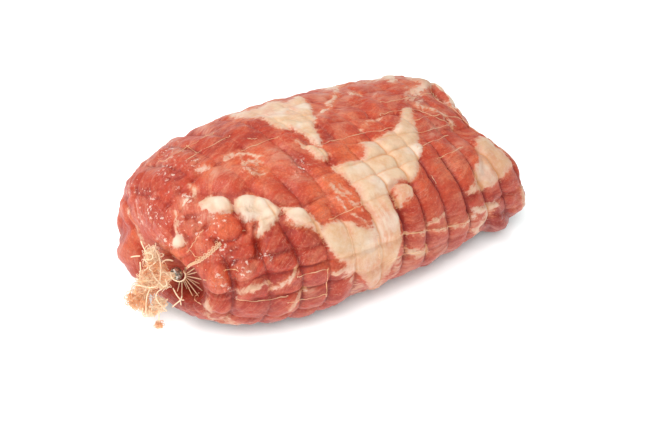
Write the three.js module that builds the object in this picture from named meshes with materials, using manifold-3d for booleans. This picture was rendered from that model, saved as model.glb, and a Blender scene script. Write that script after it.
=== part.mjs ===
// A raw rolled pork neck in a roasting net, lying on its flattened underside.
//
// The roll runs along X. Its near end, at -X, is a tall rounded dome; its far end, at +X, is lower and
// blunt. An elastic net wraps it: hoops round the meat and strands along it, which press the meat into
// pillows. At each end the net gathers into a collar, goes through a crimped metal clip and ends in a
// frayed tail. Millimetres, +Z up.
import * as THREE from 'three';
import { mergeVertices } from 'three/addons/utils/BufferGeometryUtils.js';
import Module from 'manifold-3d';

// ---------------------------------------------------------------- driving sizes of the roll
const ROLL_LENGTH = 270;
const HALF_WIDTH_ENDS = 71;
const HALF_WIDTH_BULGE = 15;
const HALF_HEIGHT_NEAR = 53;
const HALF_HEIGHT_FAR = 39.5;
const HALF_HEIGHT_BULGE = 4.4;
const FLOOR_SINK = 3; // how far the free section would dip below the floor it is flattened on
const SQUARENESS_TOP = 2.27; // superellipse powers of the section
const SQUARENESS_BOTTOM = 2.1;
const NEAR_END = {
  rounding: 110,
  power: 2.94,
  dimple: 19,
  shiftY: -18.6,
  shiftZ: -3,
  leanY: -0.137,
  leanZ: -0.015,
};
const FAR_END = {
  rounding: 17.2,
  power: 1.8,
  dimple: 8,
  shiftY: 5,
  shiftZ: -6,
  leanY: 0.12,
  leanZ: -0.306,
};
const DIMPLE_SPREAD = 0.28; // as a share of the section

// Muscles that stand proud of the roll, and seams and flats that sink into it: the middle of each, how
// far it spreads and how high it stands.
const MUSCLES = [
  { at: [-134, 22, 66], spread: 13, height: -5 },
  { at: [-134, 30, 38], spread: 20, height: 7 },
  { at: [-112, -46, 70], spread: 24, height: 2 },
  { at: [100, -28, 79], spread: 27, height: -6.5 },
  { at: [108, -62, 60], spread: 18, height: 3 },
  { at: [112, 26, 78], spread: 20, height: 3 },
  { at: [112, -76, 28], spread: 18, height: 1.5 },
];

// ---------------------------------------------------------------- driving sizes of the net
const HOOP_COUNT = 13;
const HOOP_SPACING = 19.6;
// The strands that show, by their distance in mm round the middle of the roll from its top line towards
// the viewer's side, and how far they drift round it over a drift length; the hidden ones share the rest.
const VISIBLE_STRANDS = [
  { arc: -36, drift: 5 },
  { arc: -18, drift: 3 },
  { arc: 2, drift: 4 },
  { arc: 22, drift: 10 },
  { arc: 43, drift: 1 },
  { arc: 57, drift: -3 },
  { arc: 70, drift: -4 },
  { arc: 100, drift: 4 },
  { arc: 117, drift: 4 },
];
const HIDDEN_STRANDS = 13;
const DRIFT_LENGTH = 60;
const GROOVE_DEPTH = 2.4;
const PILLOW_HEIGHT = 3.2; // from the floor of a groove to the top of a pillow
const PILLOW_EDGE = { share: 0.27, least: 1.3, most: 0.42 }; // from a groove to a pillow's flat top
const CAP_PILLOW_SHARE = 0.6; // the pillows on the two ends are lower
const PILLOW_CELL = { flat: 2, full: 18 }; // widths of the cells that have no pillow and a full one
const STRAND = { innerWidth: 0.9, outerWidth: 1.4, gap: 0.7, thickness: 1.2 };
const COLLAR_LIFT = 0.7; // how much further off the meat the collars stand
const GROOVE_FLOOR_CLEARANCE = 2.3; // a strand under the roll still clears the floor
const NEAR_CAP_SCALES = [0.12, 0.38]; // rings on the near dome, from the collar out
const FAR_CAP_SCALES = [0.82, 0.46, 0.12]; // rings on the far end, in to the collar

// ---------------------------------------------------------------- driving sizes of clips and tails
const NECK_RADIUS = 2;
const CLIP = { thickness: 1.8, length: 4.6, clearance: 0.35 };
const CLIP_STANDOFF = 2.9; // from the collar's surface to the clip's nearest face

const COLOURS = {
  meat: new THREE.Color(0.76, 0.3, 0.22),
  net: new THREE.Color(0.93, 0.78, 0.62),
  metal: new THREE.Color(0.62, 0.58, 0.52),
};

const FIRST_HOOP = NEAR_CAP_SCALES.length;
const LAST_HOOP = FIRST_HOOP + HOOP_COUNT - 1;
const LAST_RING = LAST_HOOP + FAR_CAP_SCALES.length;
const HALF_LENGTH = ROLL_LENGTH / 2;
const FIRST_HOOP_X = -HOOP_SPACING * (HOOP_COUNT - 1) / 2;

const lerp = THREE.MathUtils.lerp;
const clamp = THREE.MathUtils.clamp;

// ---------------------------------------------------------------- the roll's free surface
function roundingScale(distance, end) {
  const depth = clamp(1 - distance / end.rounding, 0, 1);
  return (1 - depth ** end.power) ** (1 / end.power);
}

function roundingDistance(scale, end) {
  return end.rounding * (1 - (1 - scale ** end.power) ** (1 / end.power));
}

function dimple(scale, end) {
  return end.dimple * Math.exp(-((scale / DIMPLE_SPREAD) ** 2));
}

function between(scales, place) {
  const index = clamp(Math.floor(place), 0, scales.length - 2);
  return lerp(scales[index], scales[index + 1], place - index);
}

// The section at a ring number: whole numbers are the net's rings, from the near collar to the far one.
function stationAt(ring) {
  if (ring < FIRST_HOOP) {
    const hoopScale = roundingScale(FIRST_HOOP_X + HALF_LENGTH, NEAR_END);
    const scale = Math.max(between([...NEAR_CAP_SCALES, hoopScale], ring), 0);
    return { x: -HALF_LENGTH + roundingDistance(scale, NEAR_END) + dimple(scale, NEAR_END), scale };
  }
  if (ring > LAST_HOOP) {
    const scale = Math.max(between([1, ...FAR_CAP_SCALES], ring - LAST_HOOP), 0);
    return { x: HALF_LENGTH - roundingDistance(scale, FAR_END) - dimple(scale, FAR_END), scale };
  }
  const x = FIRST_HOOP_X + (ring - FIRST_HOOP) * HOOP_SPACING;
  return { x, scale: roundingScale(x + HALF_LENGTH, NEAR_END) * roundingScale(HALF_LENGTH - x, FAR_END) };
}

function signedPower(value, power) {
  return Math.sign(value) * Math.abs(value) ** power;
}

// A point of the free surface, before the net presses it.
function freePoint(ring, angle, scaleOverride) {
  const station = stationAt(ring);
  const scale = scaleOverride ?? station.scale;
  const share = station.x / ROLL_LENGTH + 0.5;
  const bulge = 4 * share * (1 - share);
  const halfWidth = HALF_WIDTH_ENDS + HALF_WIDTH_BULGE * bulge;
  const halfHeight = lerp(HALF_HEIGHT_NEAR, HALF_HEIGHT_FAR, share) + HALF_HEIGHT_BULGE * bulge;
  const end = station.x < 0 ? NEAR_END : FAR_END;
  const power = 2 / (Math.sin(angle) > 0 ? SQUARENESS_TOP : SQUARENESS_BOTTOM);
  const y = halfWidth * scale * signedPower(Math.cos(angle), power);
  const z = halfHeight * scale * signedPower(Math.sin(angle), power);
  const lean = (station.x / HALF_LENGTH) ** 2;
  return new THREE.Vector3(
    station.x + lean * (end.leanY * y + end.leanZ * z),
    y + (1 - station.scale) * end.shiftY,
    z + halfHeight - FLOOR_SINK + (1 - station.scale) * end.shiftZ,
  );
}

function surfaceNormal(ring, angle) {
  const step = 0.02;
  const along = freePoint(ring + step, angle).sub(freePoint(ring - step, angle));
  const round = freePoint(ring, angle + step).sub(freePoint(ring, angle - step));
  return round.cross(along).normalize();
}

// The muscles' and seams' height at a point, which fades out towards the middle of an end.
function muscleHeight(point, scale) {
  let height = 0;
  for (const muscle of MUSCLES) {
    const distance = point.distanceTo(new THREE.Vector3(...muscle.at)) / muscle.spread;
    height += muscle.height * Math.exp(-(distance ** 2));
  }
  return height * THREE.MathUtils.smoothstep(scale, 0.1, 0.45);
}

// A point raised from the bottom of the net's grooves, and never below the given height.
function raisedPoint(ring, angle, height, lowest) {
  const point = freePoint(ring, angle);
  const raise = muscleHeight(point, stationAt(ring).scale) - GROOVE_DEPTH + height;
  point.addScaledVector(surfaceNormal(ring, angle), raise);
  point.z = Math.max(point.z, lowest);
  return point;
}

// ---------------------------------------------------------------- where the net runs
// The angle at each distance round the middle section, found by stepping round it from its top line.
function anglesAtArcs(wantedArcs) {
  const middle = (FIRST_HOOP + LAST_HOOP) / 2;
  const steps = 1440;
  const angleOf = (step) => Math.PI / 2 + (step / steps) * 2 * Math.PI;
  const lengths = [0];
  for (let step = 1; step <= steps; step += 1) {
    const stride = freePoint(middle, angleOf(step)).distanceTo(freePoint(middle, angleOf(step - 1)));
    lengths.push(lengths[step - 1] + stride);
  }
  const girth = lengths[steps];
  return wantedArcs(girth).map((arc) => {
    const turns = Math.floor(arc / girth);
    const step = lengths.findIndex((length) => length >= arc - turns * girth);
    return angleOf(step) + turns * 2 * Math.PI;
  });
}

function strandArcs(girth) {
  const arcs = VISIBLE_STRANDS.map(({ arc }) => arc);
  const last = arcs[arcs.length - 1];
  const spacing = (girth + arcs[0] - last) / (HIDDEN_STRANDS + 1);
  for (let hidden = 1; hidden <= HIDDEN_STRANDS; hidden += 1) arcs.push(last + hidden * spacing);
  return arcs;
}

const STRAND_ANGLES = anglesAtArcs(strandArcs);
const STRAND_COUNT = STRAND_ANGLES.length;

// Hoops and strands wander a little, most in the middle of the roll and not at the collars.
function crossing(ring, strand) {
  const body = Math.sin((Math.PI * ring) / LAST_RING);
  const index = strand % STRAND_COUNT;
  const angle = STRAND_ANGLES[index];
  const drift = (VISIBLE_STRANDS[index]?.drift ?? 0) / HALF_WIDTH_ENDS;
  const wander = 0.02 * Math.sin(0.75 * ring + 2.3 * index);
  return {
    ring: ring + body * (0.05 * Math.sin(2 * angle + 1.9 * ring) + 0.04 * Math.sin(3 * angle + 0.8 * ring)),
    angle: angle + body * ((drift * stationAt(ring).x) / DRIFT_LENGTH + wander),
  };
}

function groovePoint(ring, strand) {
  const place = crossing(ring, strand);
  return raisedPoint(place.ring, place.angle, 0, GROOVE_FLOOR_CLEARANCE);
}

// ---------------------------------------------------------------- mesh building
class MeshBuilder {
  constructor() {
    this.positions = [];
    this.triangles = [];
  }

  vertex(point) {
    this.positions.push(point.x, point.y, point.z);
    return this.positions.length / 3 - 1;
  }

  quad(a, b, c, d) {
    this.triangles.push(a, b, c, a, c, d);
  }

  triangle(a, b, c) {
    this.triangles.push(a, b, c);
  }

  geometry() {
    const geometry = new THREE.BufferGeometry();
    geometry.setAttribute('position', new THREE.Float32BufferAttribute(this.positions, 3));
    geometry.setIndex(this.triangles);
    return geometry;
  }
}

// ---------------------------------------------------------------- the meat
const PILLOW_CORNERS = [[0, 0], [0, 1], [1, 1], [1, 0]];

// One corner of the flat top of the pillow in a cell of the net.
function pillowCorner(ring, strand, [farSide, nextSide]) {
  const a = groovePoint(ring + farSide, strand);
  const b = groovePoint(ring + farSide, strand + 1);
  const c = groovePoint(ring + 1 - farSide, strand);
  const d = groovePoint(ring + 1 - farSide, strand + 1);
  const width = a.distanceTo(b);
  const narrowest = Math.min(width, a.distanceTo(c));
  const edge = clamp(PILLOW_EDGE.least / width, PILLOW_EDGE.share, PILLOW_EDGE.most);
  const round = nextSide ? 1 - edge : edge;
  const out = b.clone().sub(a).cross(c.clone().sub(a)).normalize();
  const corner = a.lerp(b, round).lerp(c.lerp(d, round), PILLOW_EDGE.share);
  const fullHeight = PILLOW_HEIGHT * (ring < FIRST_HOOP || ring >= LAST_HOOP ? CAP_PILLOW_SHARE : 1);
  const height = fullHeight * THREE.MathUtils.smoothstep(narrowest, PILLOW_CELL.flat, PILLOW_CELL.full);
  corner.addScaledVector(out, farSide ? -height : height);
  corner.z = Math.max(corner.z, 0);
  return corner;
}

function porkNeck() {
  const builder = new MeshBuilder();
  const grooves = [];
  for (let ring = 0; ring <= LAST_RING; ring += 1) {
    grooves.push(STRAND_ANGLES.map((_, strand) => builder.vertex(groovePoint(ring, strand))));
  }
  for (let ring = 0; ring < LAST_RING; ring += 1) {
    for (let strand = 0; strand < STRAND_COUNT; strand += 1) {
      const next = (strand + 1) % STRAND_COUNT;
      const here = grooves[ring];
      const after = grooves[ring + 1];
      const outer = [here[strand], here[next], after[next], after[strand]];
      const inner = PILLOW_CORNERS.map((corner) => builder.vertex(pillowCorner(ring, strand, corner)));
      for (let side = 0; side < 4; side += 1) {
        const turned = (side + 1) % 4;
        builder.quad(outer[side], outer[turned], inner[turned], inner[side]);
      }
      builder.quad(...inner);
    }
  }
  for (const [ring, near] of [[0, true], [LAST_RING, false]]) {
    const pole = freePoint(ring, 0, 0);
    const centre = builder.vertex(pole);
    for (let strand = 0; strand < STRAND_COUNT; strand += 1) {
      const a = grooves[ring][strand];
      const b = grooves[ring][(strand + 1) % STRAND_COUNT];
      if (near) builder.triangle(centre, b, a);
      else builder.triangle(centre, a, b);
    }
  }
  return builder.geometry();
}

// ---------------------------------------------------------------- the net
// Each crossing is a small block, and each stretch of cord joins the facing sides of two blocks.
function netCrossing(builder, ring, strand) {
  const place = crossing(ring, strand);
  const point = groovePoint(ring, strand);
  const out = surfaceNormal(place.ring, place.angle);
  const before = groovePoint(Math.max(ring - 1, 0), strand);
  const after = groovePoint(Math.min(ring + 1, LAST_RING), strand);
  const along = after.sub(before).projectOnPlane(out).normalize();
  const round = new THREE.Vector3().crossVectors(along, out).normalize();
  const corner = (a, r, width, height) => {
    const place3 = point.clone().addScaledVector(out, height);
    place3.addScaledVector(along, (a * width) / 2).addScaledVector(round, (r * width) / 2);
    place3.z = Math.max(place3.z, STRAND.gap / 2);
    return builder.vertex(place3);
  };
  const signs = [[-1, -1], [-1, 1], [1, 1], [1, -1]];
  const gap = STRAND.gap + (ring === 0 || ring === LAST_RING ? COLLAR_LIFT : 0);
  return {
    inner: signs.map(([a, r]) => corner(a, r, STRAND.innerWidth, gap)),
    outer: signs.map(([a, r]) => corner(a, r, STRAND.outerWidth, gap + STRAND.thickness)),
  };
}

// A four-sided tube between two open ends, given as matching loops of four vertices.
function joinLoops(builder, start, finish) {
  for (let side = 0; side < 4; side += 1) {
    const after = (side + 1) % 4;
    builder.quad(start[side], start[after], finish[after], finish[side]);
  }
}

function net() {
  const builder = new MeshBuilder();
  const blocks = [];
  for (let ring = 0; ring <= LAST_RING; ring += 1) {
    blocks.push(STRAND_ANGLES.map((_, strand) => netCrossing(builder, ring, strand)));
  }
  const nearSide = ({ inner, outer }) => [inner[0], outer[0], outer[1], inner[1]];
  const farSide = ({ inner, outer }) => [inner[3], outer[3], outer[2], inner[2]];
  const leftSide = ({ inner, outer }) => [inner[0], inner[3], outer[3], outer[0]];
  const rightSide = ({ inner, outer }) => [inner[1], inner[2], outer[2], outer[1]];
  for (let ring = 0; ring <= LAST_RING; ring += 1) {
    for (let strand = 0; strand < STRAND_COUNT; strand += 1) {
      const block = blocks[ring][strand];
      builder.quad(...block.outer);
      builder.quad(block.inner[3], block.inner[2], block.inner[1], block.inner[0]);
      joinLoops(builder, rightSide(block), leftSide(blocks[ring][(strand + 1) % STRAND_COUNT]));
      if (ring < LAST_RING) joinLoops(builder, farSide(block), nearSide(blocks[ring + 1][strand]));
      if (ring === 0) builder.quad(...nearSide(block).reverse());
      if (ring === LAST_RING) builder.quad(...farSide(block));
    }
  }
  return builder.geometry();
}

// ---------------------------------------------------------------- booleans
const wasm = await Module();
wasm.setup();

function solidOf(geometry) {
  const bare = geometry.clone();
  bare.deleteAttribute('normal');
  bare.deleteAttribute('uv');
  const merged = mergeVertices(bare, 1e-4);
  return new wasm.Manifold(new wasm.Mesh({
    numProp: 3,
    vertProperties: new Float32Array(merged.attributes.position.array),
    triVerts: new Uint32Array(merged.index.array),
  }));
}

function geometryOf(solid) {
  const mesh = solid.getMesh();
  const geometry = new THREE.BufferGeometry();
  geometry.setAttribute('position', new THREE.BufferAttribute(mesh.vertProperties, 3));
  geometry.setIndex(new THREE.BufferAttribute(mesh.triVerts, 1));
  return geometry;
}

// ---------------------------------------------------------------- clips and tails
// Where the net leaves an end: the middle of its collar, and the way out.
function collarPlace(near) {
  const ring = near ? 0 : LAST_RING;
  const centre = freePoint(ring, 0, 0);
  const collarTop = groovePoint(ring, 0);
  const out = near ? -1 : 1;
  const surfaceX = out * Math.max(out * centre.x, out * collarTop.x);
  return { centre: new THREE.Vector3(surfaceX, centre.y, centre.z), out };
}

// A short crimped sleeve round the neck of the gathered net.
function clip(near) {
  const { centre, out } = collarPlace(near);
  const wallRadius = CLIP.thickness / 2;
  const geometry = new THREE.TorusGeometry(NECK_RADIUS + CLIP.clearance + wallRadius, wallRadius, 8, 14);
  geometry.rotateY(Math.PI / 2);
  geometry.scale(CLIP.length / CLIP.thickness, 1, 1);
  geometry.translate(centre.x + out * (CLIP_STANDOFF + CLIP.length / 2), centre.y, centre.z);
  return geometry;
}

// A tail's shape: its path from the collar's centre, as steps out of the end, across and up, and its
// half width, across the given way, and half thickness along the path. The gathered net narrows to its
// neck in the clip, then opens into a fan.
const NECK = {
  path: [[0.9, 0, 0], [2.8, 0, 0], [9.2, 0, 0]],
  halfWidth: [5, NECK_RADIUS, NECK_RADIUS],
  halfThickness: [4, NECK_RADIUS, NECK_RADIUS],
};
const NEAR_TAIL = {
  path: [...NECK.path, [12.5, 3, -1], [17, 10, -5], [21, 15, -14], [20, 17, -26]],
  halfWidth: [...NECK.halfWidth, 6, 11, 15, 12],
  halfThickness: [...NECK.halfThickness, 4, 5, 5, 4],
  across: [0, 1, 0],
  pleats: 7,
  fray: 4,
};
const NEAR_UPPER_LOBE = {
  path: [[10.6, 1, 1], [13, 6, 5], [15.5, 11, 10], [16.5, 14, 15]],
  halfWidth: [2, 6, 9, 6],
  halfThickness: [2, 3, 3, 2],
  across: [0, -0.8, 0.5],
  pleats: 5,
  fray: 3,
};
const FAR_TAIL = {
  path: [...NECK.path, [12, 0.5, -2], [14.5, 2, -8], [14.5, 3, -15]],
  halfWidth: [...NECK.halfWidth, 4, 8, 9],
  halfThickness: [...NECK.halfThickness, 3, 4, 3],
  across: [0, 1, 0],
  pleats: 5,
  fray: 3,
};
const TAIL_SIDES = 20;
const RINGS_PER_STEP = 2;
const PLEAT_DEPTH = 0.2;

function along(values, share) {
  const place = share * (values.length - 1);
  const index = Math.min(Math.floor(place), values.length - 2);
  return lerp(values[index], values[index + 1], place - index);
}

function tailFrame(tail, near, share) {
  const { centre, out } = collarPlace(near);
  const points = tail.path.map(([x, y, z]) => new THREE.Vector3(out * x, y, z).add(centre));
  const curve = new THREE.CatmullRomCurve3(points);
  const forward = curve.getTangent(share);
  const side = new THREE.Vector3(...tail.across).projectOnPlane(forward).normalize();
  const face = new THREE.Vector3().crossVectors(forward, side);
  return { point: curve.getPoint(share), forward, side, face };
}

// The gathered net: a round neck that opens into a flat pleated fan with a ragged edge.
function tailFan(tail, near) {
  const builder = new MeshBuilder();
  const rings = [];
  const lastRing = RINGS_PER_STEP * (tail.path.length - 1);
  const narrowest = Math.min(...tail.halfWidth);
  const widest = Math.max(...tail.halfWidth);
  for (let step = 0; step <= lastRing; step += 1) {
    const share = step / lastRing;
    const frame = tailFrame(tail, near, share);
    const open = (along(tail.halfWidth, share) - narrowest) / (widest - narrowest);
    const ring = [];
    for (let side = 0; side < TAIL_SIDES; side += 1) {
      const turn = (side / TAIL_SIDES) * 2 * Math.PI;
      const pleat = 1 + PLEAT_DEPTH * open * Math.cos(tail.pleats * turn + 4 * share);
      const ragged = step === lastRing ? tail.fray * Math.sin(5 * turn) * Math.cos(3 * turn + 1) : 0;
      const point = frame.point.clone();
      point.addScaledVector(frame.side, along(tail.halfWidth, share) * pleat * Math.cos(turn));
      point.addScaledVector(frame.face, along(tail.halfThickness, share) * pleat * Math.sin(turn));
      point.addScaledVector(frame.forward, ragged);
      ring.push(builder.vertex(point));
    }
    rings.push(ring);
  }
  for (let step = 0; step < lastRing; step += 1) {
    for (let side = 0; side < TAIL_SIDES; side += 1) {
      const next = (side + 1) % TAIL_SIDES;
      builder.quad(rings[step][side], rings[step][next], rings[step + 1][next], rings[step + 1][side]);
    }
  }
  const start = builder.vertex(tailFrame(tail, near, 0).point);
  const finish = builder.vertex(tailFrame(tail, near, 1).point);
  for (let side = 0; side < TAIL_SIDES; side += 1) {
    const next = (side + 1) % TAIL_SIDES;
    builder.triangle(start, rings[0][next], rings[0][side]);
    builder.triangle(finish, rings[lastRing][side], rings[lastRing][next]);
  }
  return builder.geometry();
}

// A loose cord end that springs from the fan: a thick thread on a curve that leaves it and droops.
const THREAD_RADIUS = 0.8;
const THREAD_SIDES = 6;
const THREAD_STEPS = 5;

function looseThread(tail, near, thread) {
  const frame = tailFrame(tail, near, thread.share);
  const sideways = thread.side * along(tail.halfWidth, thread.share) * 0.7;
  const root = frame.point.clone().addScaledVector(frame.side, sideways);
  const away = frame.side.clone().multiplyScalar(thread.side).addScaledVector(frame.face, thread.lift);
  const tip = root.clone().addScaledVector(away, thread.reach);
  tip.addScaledVector(frame.forward, thread.reach * 0.5);
  const middle = root.clone().lerp(tip, 0.5).addScaledVector(frame.face, thread.bow);
  const outline = new THREE.Shape();
  for (let side = 0; side < THREAD_SIDES; side += 1) {
    const turn = (side / THREAD_SIDES) * 2 * Math.PI;
    const place = [THREAD_RADIUS * Math.cos(turn), THREAD_RADIUS * Math.sin(turn)];
    if (side === 0) outline.moveTo(...place);
    else outline.lineTo(...place);
  }
  const extrudePath = new THREE.CatmullRomCurve3([root, middle, tip]);
  return new THREE.ExtrudeGeometry(outline, { steps: THREAD_STEPS, extrudePath, bevelEnabled: false });
}

const NEAR_THREADS = [
  { share: 0.55, side: 1, lift: 0.3, reach: 7, bow: 2 },
  { share: 0.75, side: -1, lift: 0.2, reach: 8, bow: 2 },
  { share: 0.85, side: 1, lift: -0.2, reach: 9, bow: 2 },
  { share: 0.9, side: -0.3, lift: 0.4, reach: 8, bow: 2 },
];

function tailSolid(near, [tail, ...lobes], threads) {
  let solid = solidOf(tailFan(tail, near));
  for (const lobe of lobes) solid = solid.add(solidOf(tailFan(lobe, near)));
  for (const thread of threads) solid = solid.add(solidOf(looseThread(tail, near, thread)));
  return geometryOf(solid);
}

// ---------------------------------------------------------------- the assembly
function part(name, geometry, color, roughness, metalness) {
  const mesh = new THREE.Mesh(geometry, new THREE.MeshStandardMaterial({ color, roughness, metalness }));
  mesh.name = name;
  return mesh;
}

const roll = new THREE.Group();
roll.add(
  part('pork_neck', porkNeck(), COLOURS.meat, 0.35, 0),
  part('roasting_net', net(), COLOURS.net, 0.7, 0),
  part('clip_near', clip(true), COLOURS.metal, 0.3, 0.9),
  part('clip_far', clip(false), COLOURS.metal, 0.3, 0.9),
  part('net_tail_near', tailSolid(true, [NEAR_TAIL, NEAR_UPPER_LOBE], NEAR_THREADS), COLOURS.net, 0.7, 0),
  part('net_tail_far', tailSolid(false, [FAR_TAIL], []), COLOURS.net, 0.7, 0),
);

// The origin is the middle of the footprint, on the floor.
const extent = new THREE.Box3().setFromObject(roll);
const middle = extent.getCenter(new THREE.Vector3());
roll.position.set(-middle.x, -middle.y, -extent.min.z);

const model = new THREE.Group();
model.add(roll);

export default model;
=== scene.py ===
import math

import bpy
import numpy as np
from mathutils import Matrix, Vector, noise


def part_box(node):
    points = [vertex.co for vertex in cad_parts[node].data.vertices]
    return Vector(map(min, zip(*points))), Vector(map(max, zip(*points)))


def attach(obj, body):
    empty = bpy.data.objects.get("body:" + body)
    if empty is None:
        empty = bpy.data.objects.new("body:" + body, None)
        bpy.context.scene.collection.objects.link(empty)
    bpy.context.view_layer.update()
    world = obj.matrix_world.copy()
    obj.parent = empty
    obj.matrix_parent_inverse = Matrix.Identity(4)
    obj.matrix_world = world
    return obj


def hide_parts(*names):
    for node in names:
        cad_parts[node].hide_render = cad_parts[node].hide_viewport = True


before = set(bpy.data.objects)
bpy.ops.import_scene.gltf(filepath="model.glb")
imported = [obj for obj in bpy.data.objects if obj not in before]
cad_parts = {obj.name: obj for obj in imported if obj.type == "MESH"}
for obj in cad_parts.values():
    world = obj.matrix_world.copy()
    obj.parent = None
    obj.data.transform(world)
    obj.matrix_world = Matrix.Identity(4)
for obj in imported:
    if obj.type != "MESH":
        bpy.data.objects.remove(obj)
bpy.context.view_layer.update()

RANDOM = np.random.default_rng(11)

# ---------------------------------------------------------------- the roll's sizes
ROLL_LENGTH = 270.0
HALF_LENGTH = ROLL_LENGTH / 2
HALF_WIDTH_ENDS = 71.0
HALF_WIDTH_BULGE = 15.0
HALF_HEIGHT_NEAR = 53.0
HALF_HEIGHT_FAR = 39.5
HALF_HEIGHT_BULGE = 4.4
FLOOR_SINK = 3.0
SQUARENESS_TOP = 2.27
SQUARENESS_BOTTOM = 2.1

# How each end is rounded off: over what length, how squarely, how deep its dimple is, how far the small
# sections near it are shifted, and how far it leans for each mm aside and up.
NEAR_END = dict(rounding=110, power=2.94, dimple=19, shift_y=-18.6, shift_z=-3, lean_y=-0.137, lean_z=-0.015)
FAR_END = dict(rounding=17.2, power=1.8, dimple=8, shift_y=5, shift_z=-6, lean_y=0.12, lean_z=-0.306)
DIMPLE_SPREAD = 0.28

# Muscles that stand proud, seams that sink in: the middle of each, how far it spreads, how high it is.
MUSCLES = [
    ((-134, 22, 66), 13, -5),
    ((-134, 30, 38), 20, 7),
    ((-112, -46, 70), 24, 2),
    ((100, -28, 79), 27, -6.5),
    ((108, -62, 60), 18, 3),
    ((112, 26, 78), 20, 3),
    ((112, -76, 28), 18, 1.5),
]

# ---------------------------------------------------------------- the net's sizes
HOOP_COUNT = 13
HOOP_SPACING = 19.6
FIRST_HOOP_X = -HOOP_SPACING * (HOOP_COUNT - 1) / 2
SEEN_STRANDS = [(-36, 5), (-18, 3), (2, 4), (22, 10), (43, 1), (57, -3), (70, -4), (100, 4), (117, 4)]
HIDDEN_STRANDS = 13
STRAND_COUNT = len(SEEN_STRANDS) + HIDDEN_STRANDS
DRIFT_LENGTH = 60.0
GROOVE_DEPTH = 2.4
NEAR_CAP_SCALES = [0.12, 0.38]
FAR_CAP_SCALES = [0.82, 0.46, 0.12]
FIRST_HOOP = len(NEAR_CAP_SCALES)
LAST_HOOP = FIRST_HOOP + HOOP_COUNT - 1
LAST_RING = LAST_HOOP + len(FAR_CAP_SCALES)
CLIP_STANDOFF = 2.9
CLIP_LENGTH = 4.6
STRAND_WANDER = 0.02  # how far the strands stray from their angles, in radians
HOOP_WANDERS = (0.05, 0.04)  # how far the hoops stray along the roll, in hoop spacings, in two waves

# ---------------------------------------------------------------- the camera
IMAGE_WIDTH = 650
IMAGE_HEIGHT = 433
CAMERA_TURN = math.radians(38.229)
CAMERA_DROP = math.radians(34.745)
CAMERA_DISTANCE = 1022.6
CAMERA_TARGET = np.array([-18.27, -27.22, 50.0])
FOCAL_PIXELS = 1611.3
SENSOR_WIDTH = 36.0
CAMERA_RIGHT = np.array([math.cos(CAMERA_TURN), -math.sin(CAMERA_TURN), 0])
CAMERA_FORWARD = np.array([
    math.sin(CAMERA_TURN) * math.cos(CAMERA_DROP),
    math.cos(CAMERA_TURN) * math.cos(CAMERA_DROP),
    -math.sin(CAMERA_DROP),
])
CAMERA_UP = np.cross(CAMERA_RIGHT, CAMERA_FORWARD)
CAMERA_PLACE = CAMERA_TARGET - CAMERA_DISTANCE * CAMERA_FORWARD


# ---------------------------------------------------------------- the roll's free surface
def rounding_scale(distance, end):
    depth = np.clip(1 - distance / end["rounding"], 0, 1)
    return (1 - depth ** end["power"]) ** (1 / end["power"])


def rounding_distance(scale, end):
    return end["rounding"] * (1 - (1 - scale ** end["power"]) ** (1 / end["power"]))


def dimple(scale, end):
    return end["dimple"] * np.exp(-((scale / DIMPLE_SPREAD) ** 2))


def between(scales, place):
    index = np.clip(np.floor(place).astype(int), 0, len(scales) - 2)
    scales = np.array(scales)
    return scales[index] + (scales[index + 1] - scales[index]) * (place - index)


def station_at(ring):
    """The x and the scale of the section at ring numbers: whole numbers are the net's rings."""
    ring = np.asarray(ring, float)
    hoop_scale = rounding_scale(FIRST_HOOP_X + HALF_LENGTH, NEAR_END)
    near_scale = np.clip(between([*NEAR_CAP_SCALES, hoop_scale], ring), 0, 1)
    far_scale = np.clip(between([1, *FAR_CAP_SCALES], ring - LAST_HOOP), 0, 1)
    body_x = FIRST_HOOP_X + (ring - FIRST_HOOP) * HOOP_SPACING
    body_scale = rounding_scale(body_x + HALF_LENGTH, NEAR_END)
    body_scale = body_scale * rounding_scale(HALF_LENGTH - body_x, FAR_END)
    near_x = -HALF_LENGTH + rounding_distance(near_scale, NEAR_END) + dimple(near_scale, NEAR_END)
    far_x = HALF_LENGTH - rounding_distance(far_scale, FAR_END) - dimple(far_scale, FAR_END)
    near, far = ring < FIRST_HOOP, ring > LAST_HOOP
    x = np.where(near, near_x, np.where(far, far_x, body_x))
    return x, np.where(near, near_scale, np.where(far, far_scale, body_scale))


def signed_power(value, power):
    return np.sign(value) * np.abs(value) ** power


def free_point(ring, angle, flatten=1.0):
    """A point of the free surface, before the net presses it; flatten = 0 gives the section's middle."""
    ring, angle = np.broadcast_arrays(np.asarray(ring, float), np.asarray(angle, float))
    x, scale = station_at(ring)
    share = x / ROLL_LENGTH + 0.5
    bulge = 4 * share * (1 - share)
    half_width = HALF_WIDTH_ENDS + HALF_WIDTH_BULGE * bulge
    half_height = HALF_HEIGHT_NEAR + (HALF_HEIGHT_FAR - HALF_HEIGHT_NEAR) * share + HALF_HEIGHT_BULGE * bulge
    power = 2 / np.where(np.sin(angle) > 0, SQUARENESS_TOP, SQUARENESS_BOTTOM)
    y = half_width * scale * flatten * signed_power(np.cos(angle), power)
    z = half_height * scale * flatten * signed_power(np.sin(angle), power)
    lean = (x / HALF_LENGTH) ** 2
    keys = ("shift_y", "shift_z", "lean_y", "lean_z")
    pick = {key: np.where(x < 0, NEAR_END[key], FAR_END[key]) for key in keys}
    return np.stack([
        x + lean * (pick["lean_y"] * y + pick["lean_z"] * z),
        y + (1 - scale) * pick["shift_y"],
        z + half_height - FLOOR_SINK + (1 - scale) * pick["shift_z"],
    ], -1)


def unit(vectors):
    return vectors / np.maximum(np.linalg.norm(vectors, axis=-1, keepdims=True), 1e-9)


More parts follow.
